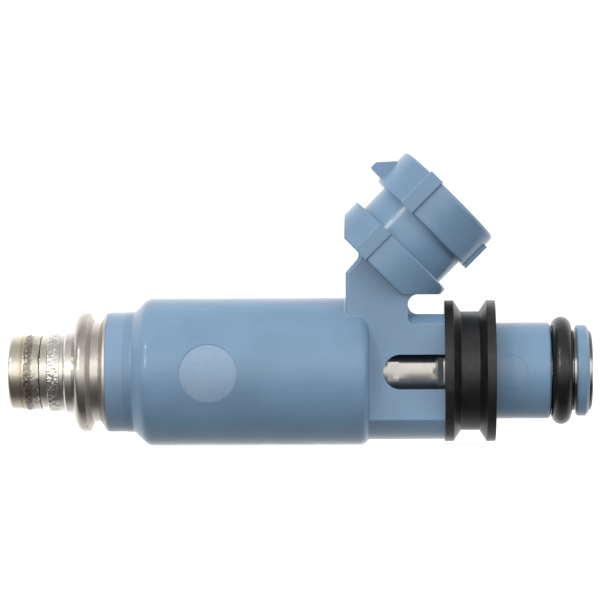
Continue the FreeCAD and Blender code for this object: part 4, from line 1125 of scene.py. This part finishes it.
@dataclass
class RailEnd:
    """Rubber grommet, O-ring and retaining ring on the fuel tube."""

    grommet_flange: float = 0.95
    grommet_slope: float = 0.8
    grommet_waist: float = 1.21
    grommet_lip: float = 1.21
    unevenness: float = 0.01
    flash: float = 0.02
    flash_angle: float = 0.1
    section_points: int = 72
    retainer_bore: float = 4.0
    core: float = 3.7
    bore: float = 1.9
    tube_wall: float = 0.55
    inlet_bore: float = 2.9
    inlet_depth: float = 10.8
    lip_ahead: float = 0.35
    # x from and to, depth at each end
    crimps: tuple[tuple[float, float, float, float], ...] = ((34.6, 35.94, 0.19, 0.0), (39.35, 40.4, 0.0, 0.4))
    retainer_corner: float = 0.3
    retainer_chamfer: float = 0.3
    retainer_waviness: float = 0.008

    def build(self, finishes: Finishes) -> None:
        """Builds and dresses the rail end.

        Args:
            finishes: Every finish, by name.
        """
        self._grommet(finishes["grommet_rubber"])
        self._oring(finishes["oring_rubber"])
        self._retainer(finishes["blue_plastic"])
        self._fuel_tube(finishes["core_steel"])
        dress(finishes, adjusting_tube="bright_steel")

    def _fuel_tube(self, material: Material) -> None:
        """Core and fuel tube in one, with the sloping crimp flats that show in the body's windows.

        A flat at distance d from the axis lies at the radius d / |sin a|, a being the angle round from the top.

        Args:
            material: Its finish.
        """
        front, back, lip = box_mm("inlet_core")
        core = self.core
        _, sleeve_back, sleeve = box_mm("nonmagnetic_sleeve")
        tube_bore = sleeve - self.tube_wall
        ring_front, ring_back, _ = box_mm("oring_retainer")
        window_end = box_mm("upper_grommet")[0]
        lip_front = ring_front - self.lip_ahead
        floor = back - self.inlet_depth
        outline = refined([
            (front, self.bore), (front, tube_bore), (sleeve_back, tube_bore), (sleeve_back, core),
            (lip_front, core), (lip_front, lip, 0.12), (ring_front, lip), (ring_front, self.retainer_bore),
            (ring_back, self.retainer_bore), (ring_back, lip), (back, lip, 0.38),
            (back, self.inlet_bore + 0.3), (back - 0.3, self.inlet_bore), (floor, self.inlet_bore),
            (floor - self.inlet_bore + self.bore, self.bore)], 0.6, [(window_end - 6.2, window_end + 0.3, 0.05)])

        def relief(x: Array, r: Array, angles: Array) -> Array:
            """Depth of the crimp flats below the round tube, on both sides."""
            cut = np.zeros_like(r)
            off = np.abs(np.sin(angles))
            for low, high, front_depth, back_depth in self.crimps:
                share = (x - low) / (high - low)
                flat = (core - front_depth - (back_depth - front_depth) * share) / np.maximum(off, 0.3)
                inside = (share >= 0) & (share <= 1) & (r > core - 0.01) & (r < core + 0.01)
                cut = np.where(inside, np.minimum(cut, flat - r), cut)
            return cut

        turn_piece("fuel_tube", outline, 480, material, Slot.STAINLESS, "inlet_core", relief, 7.0)

    def _grommet(self, material: Material) -> None:
        """Rubber spool: two flanges with crisp edges, cones and a straight waist.

        Args:
            material: Its finish.
        """
        front, back, flange = box_mm("upper_grommet")
        waist = flange - self.grommet_lip
        bore = waist - self.grommet_waist
        lip, slope = self.grommet_flange, self.grommet_slope
        outline = refined([
            (front, bore), (front, flange, 0.1), (front + lip, flange, 0.07), (front + lip + slope, waist, 0.12),
            (back - lip - slope, waist, 0.12), (back - lip, flange, 0.07), (back, flange, 0.1), (back, bore)], 0.3)

        def relief(x: Array, r: Array, angles: Array) -> Array:
            """Slight moulding unevenness."""
            return (r > bore + 0.1) * self.unevenness * lattice_noise(x, angles, 0.9, 30, 31)

        turn_piece("rail_grommet", outline, 256, material, Slot.RUBBER, "upper_grommet", relief)

    def _oring(self, material: Material) -> None:
        """O-ring: a circle carried round the axis, with a fine flash line inside and outside.

        A point at angle b on the section stands (section radius + flash) from the section's centre.

        Args:
            material: Its finish.
        """
        front, back, outer = box_mm("rail_oring")
        section = (back - front) / 2
        turn = np.linspace(0, 2 * np.pi, self.section_points, endpoint=False)
        ridge = hump(turn, np.pi / 2, self.flash_angle) + hump(turn, 3 * np.pi / 2, self.flash_angle)
        ridge = self.flash * ridge - 0.004
        outline = np.stack([(front + back) / 2 + (section + ridge) * np.cos(turn),
                            outer - section + (section + ridge - self.flash) * np.sin(turn)], axis=1)
        turn_piece("fuel_rail_oring", outline, 256, material, Slot.ORING, "rail_oring")

    def _retainer(self, material: Material) -> None:
        """Plastic ring snapped over the tube's lip, bevelled towards the rail.

        Args:
            material: Its finish.
        """
        front, back, radius = box_mm("oring_retainer")
        outline = refined([
            (front, self.retainer_bore), (front, radius, self.retainer_corner),
            (back - self.retainer_chamfer, radius, 0.14), (back, radius - self.retainer_chamfer, 0.08),
            (back, self.retainer_bore)], 0.25)

        def relief(x: Array, r: Array, angles: Array) -> Array:
            """Slight waviness of a thin moulded ring."""
            return (r > self.retainer_bore + 0.1) * self.retainer_waviness * lattice_noise(x, angles, 0.8, 24, 41)

        turn_piece("snap_retainer", outline, 224, material, Slot.BLUE_PLASTIC, "oring_retainer", relief)


@dataclass
class Magnet:
    """Coil, tape, bobbin, spring and the blades that feed the coil."""

    winding_depth: float = 1.55
    turn_pitch: float = 0.3
    wire_relief: float = 0.06
    tape_width: float = 5.0
    tape_depth: float = 0.15
    spring_turns: int = 9
    spring_wire: float = 0.36
    wire_sides: int = 14
    points_in_turn: int = 40
    lift: float = 0.08

    def build(self, finishes: Finishes) -> None:
        """Builds and dresses the magnet.

        Args:
            finishes: Every finish, by name.
        """
        self._winding(finishes["enamelled_copper"])
        self._tape(finishes["polyester_tape"])
        self._spring(finishes["spring_steel"])
        dress(finishes, coil_bobbin="bobbin_nylon", terminal_left="tinned_brass", terminal_right="tinned_brass")

    def _winding(self, material: Material) -> None:
        """Layer of wound wire: the radius falls as the square of a sine between turns a pitch apart.

        Args:
            material: Its finish.
        """
        front, back, radius = box_mm("coil_winding")
        bore = radius - self.winding_depth
        turns = round((back - front) / self.turn_pitch)
        x = np.linspace(front, back, turns * 6 + 1)
        dip = self.wire_relief * np.sin(np.pi * turns * (x - front) / (back - front) + np.pi / 2) ** 2
        top = np.stack([x, radius - dip], axis=1)
        outline = np.vstack([[(front, bore)], top, [(back, bore)]])
        turn_piece("wound_coil", outline, 72, material, Slot.COPPER, "coil_winding")

    def _tape(self, material: Material) -> None:
        """Tape wound on in overlapping laps, whose edges climb along the axis as they go round.

        Args:
            material: Its finish.
        """
        front, back, radius = box_mm("winding_tape")
        bore = radius - self.tape_depth
        outline = refined([(front, bore), (front, radius, 0.04), (back, radius, 0.04), (back, bore)], 0.2)

        def relief(x: Array, r: Array, angles: Array) -> Array:
            """Saw-tooth of laps, each a tape's half width further on."""
            lap = ((x - front) / (self.tape_width / 2) + angles / (2 * np.pi)) % 1.0
            return (r > radius - 0.05) * 0.05 * (lap - 1.0)

        turn_piece("coil_tape", outline, 144, material, Slot.TAPE, "winding_tape", relief)

    def _spring(self, material: Material) -> None:
        """Return spring: a round wire along a helix whose first and last turns lie almost flat.

        Args:
            material: Its finish.
        """
        front, back, outer = box_mm("return_spring")
        mean = outer - self.spring_wire / 2
        turn = np.linspace(0, self.spring_turns, self.spring_turns * self.points_in_turn + 1)
        active = self.spring_turns - 2
        open_part = np.clip(turn - 1, 0, active)
        flat_rise = self.spring_wire * 1.02
        height = back - front - self.spring_wire
        rise = (height - 2 * flat_rise) / active * open_part + flat_rise * (turn - open_part)
        angle = 2 * np.pi * turn
        path = np.stack([front + self.spring_wire / 2 + rise, mean * np.cos(angle), mean * np.sin(angle)], axis=1)
        grid = tube_along(path, self.spring_wire / 2 * 0.98, self.wire_sides)
        first, last = (path[k, None, None, :].repeat(self.wire_sides, axis=1) for k in (0, -1))
        grid = np.concatenate([first, grid, last])
        piece = mesh_object("return_coil_spring", [(grid, False)], 60.0)
        settle(piece, material, Slot.SPRING, "return_spring")
        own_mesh(piece)


@dataclass
class InletFilter:
    """Basket filter in the inlet: moulded frame and woven screen."""

    wires_along: int = 44
    wires_around: int = 30
    wire: float = 0.032
    weave: float = 0.03
    margin: float = 0.05

    def build(self, finishes: Finishes) -> None:
        """Builds and dresses the filter."""
        dress(finishes, filter_frame="filter_nylon")
        self._screen(finishes["woven_steel"])

    def _screen(self, material: Material) -> None:
        """Plain weave rolled into a tube: long wires pass over and under ring wires as a cosine of position.

        Args:
            material: Its finish.
        """
        front, back, radius = box_mm("filter_mesh")
        middle = radius - self.margin
        start, spread = front + self.margin, back - front - 2 * self.margin
        grids = []
        section = np.linspace(0, 2 * np.pi, 4, endpoint=False)
        along = np.linspace(0, 1, self.wires_around * 2 + 1)
        for i in range(self.wires_along):
            angle = 2 * np.pi * i / self.wires_along
            lift = middle + self.weave * np.cos(np.pi * (self.wires_around * along + i))
            out = np.array([0.0, math.sin(angle), math.cos(angle)])
            side = np.array([0.0, math.cos(angle), -math.sin(angle)])
            path = np.stack([start + spread * along, lift * out[1], lift * out[2]], axis=1)
            ring = self.wire * (out * np.cos(section)[:, None] + side * np.sin(section)[:, None])
            grids.append((path[:, None, :] + ring, False))
        around = np.linspace(0, 2 * np.pi, self.wires_along * 2, endpoint=False)
        for j in range(self.wires_around):
            x = start + spread * (j + 0.5) / self.wires_around
            lift = middle - self.weave * np.cos(around * self.wires_along / 2 + np.pi * j)
            radial = lift[:, None] + self.wire * np.cos(section)
            shift = x + self.wire * np.sin(section) + np.zeros_like(radial)
            grid = np.stack([shift, radial * np.sin(around)[:, None], radial * np.cos(around)[:, None]], axis=2)
            grids.append((grid, True))
        settle(mesh_object("filter_screen", grids, 80.0), material, Slot.SCREEN, "filter_mesh")


@dataclass
class MovingValve:
    """Ball, needle and armature, which lift together."""

    def build(self, finishes: Finishes) -> None:
        """Dresses the valve."""
        dress(finishes, valve_ball="polished_steel", valve_needle="hardened_steel", armature="magnetic_steel")


def make_finishes() -> Finishes:
    """Builds the finishes.

    Returns:
        Every finish, by name.
    """
    effects = Effects()
    blue = (0.150, 0.250, 0.365)
    tip, back, _ = box_mm("nozzle_cap")
    ring_back = box_mm("stop_ring")[1]
    grommet, grommet_back, _ = box_mm("upper_grommet")
    straw, brown, oxide, grey = (0.62, 0.50, 0.27), (0.30, 0.17, 0.07), (0.13, 0.105, 0.08), (0.42, 0.38, 0.32)
    kinds = [
        MouldedPlastic("blue_plastic", blue),
        BodyPlastic("body_plastic", blue, stem_x_mm=grommet_back, front_x_mm=box_mm("yoke_housing")[0] + 3.55,
                    discs=((DISC_X, DISC_RADIUS, 0.3), (47.5, 1.75, 0.02))),
        HeatTintedSteel("heat_tinted_steel", (0.68, 0.63, 0.54), roughness=0.12, grain_depth_mm=0.0006,
                        depth_mm=0.0009, bands=(
            (tip, straw, 0.1), (tip + 1.1, straw, 0.15), (tip + 1.45, brown, 0.75), (tip + 1.6, straw, 0.6),
            (tip + 1.8, oxide, 0.95), (tip + 2.5, oxide, 0.9), (tip + 2.7, grey, 0.45), (back - 0.1, grey, 0.2),
            (back, oxide, 1.0))),
        TurnedSteel("weld_steel", (0.72, 0.69, 0.64), roughness=0.12, depth_mm=0.0006, grain_depth_mm=0.0005,
                    pits=0.25),
        TurnedSteel("bright_steel", (0.70, 0.65, 0.57), roughness=0.11, grain_depth_mm=0.0005, depth_mm=0.0008),
        TurnedSteel("satin_steel", (0.54, 0.50, 0.45), roughness=0.2, grain_depth_mm=0.003, stain=0.25, pits=0.3,
                    satin_mm=(ring_back - 0.45, ring_back + 0.01)),
        TurnedSteel("yoke_steel", (0.60, 0.56, 0.51), roughness=0.16, depth_mm=0.002, pitch_mm=0.09,
                    grain_depth_mm=0.002, stain=0.2, satin_mm=(ring_back + 0.86, ring_back + 1.6)),
        # core_steel carries painted shade above and below the axis, for the shade inside the body's windows
        TurnedSteel("core_steel", (0.47, 0.45, 0.42), roughness=0.17, depth_mm=0.001, grain_depth_mm=0.0006,
                    satin_mm=(grommet - 1.0, grommet + 0.2), satin_tint=(0.12, 0.12, 0.12), painted_shade_mm=0.95),
        TurnedSteel("magnetic_steel", (0.52, 0.50, 0.46), roughness=0.28, stain=0.3),
        TurnedSteel("hardened_steel", (0.55, 0.55, 0.56), roughness=0.12, depth_mm=0.0006, stain=0.05),
        TurnedSteel("polished_steel", (0.68, 0.68, 0.68), roughness=0.06, depth_mm=0.0002, stain=0.03, pits=0.02),
        TurnedSteel("spring_steel", (0.42, 0.41, 0.40), roughness=0.2, pitch_mm=0.03, stain=0.2),
        TurnedSteel("woven_steel", (0.58, 0.57, 0.55), roughness=0.25, pitch_mm=0.03),
        BlackRubber("grommet_rubber"),
        BlackRubber("oring_rubber", (0.005, 0.005, 0.005), roughness=0.24, dust=0.06, grain_depth_mm=0.002),
        Nylon("bobbin_nylon", (0.55, 0.50, 0.38)),
        Nylon("filter_nylon", (0.60, 0.56, 0.45)),
        EnamelledCopper("enamelled_copper"),
        PolyesterTape("polyester_tape"),
        TinnedBrass("tinned_brass"),
    ]
    return {kind.name: kind.material(effects) for kind in kinds}


def main() -> None:
    """Builds the injector's looks in order."""
    Studio().build()
    finishes = make_finishes()
    for assembly in (SprayTip(), PortSeat(), MouldedBody(), RailEnd(), Magnet(), InletFilter(), MovingValve()):
        assembly.build(finishes)


if __name__ == "__main__":
    logging.basicConfig(level=logging.INFO, format="%(name)s: %(message)s")
    main()
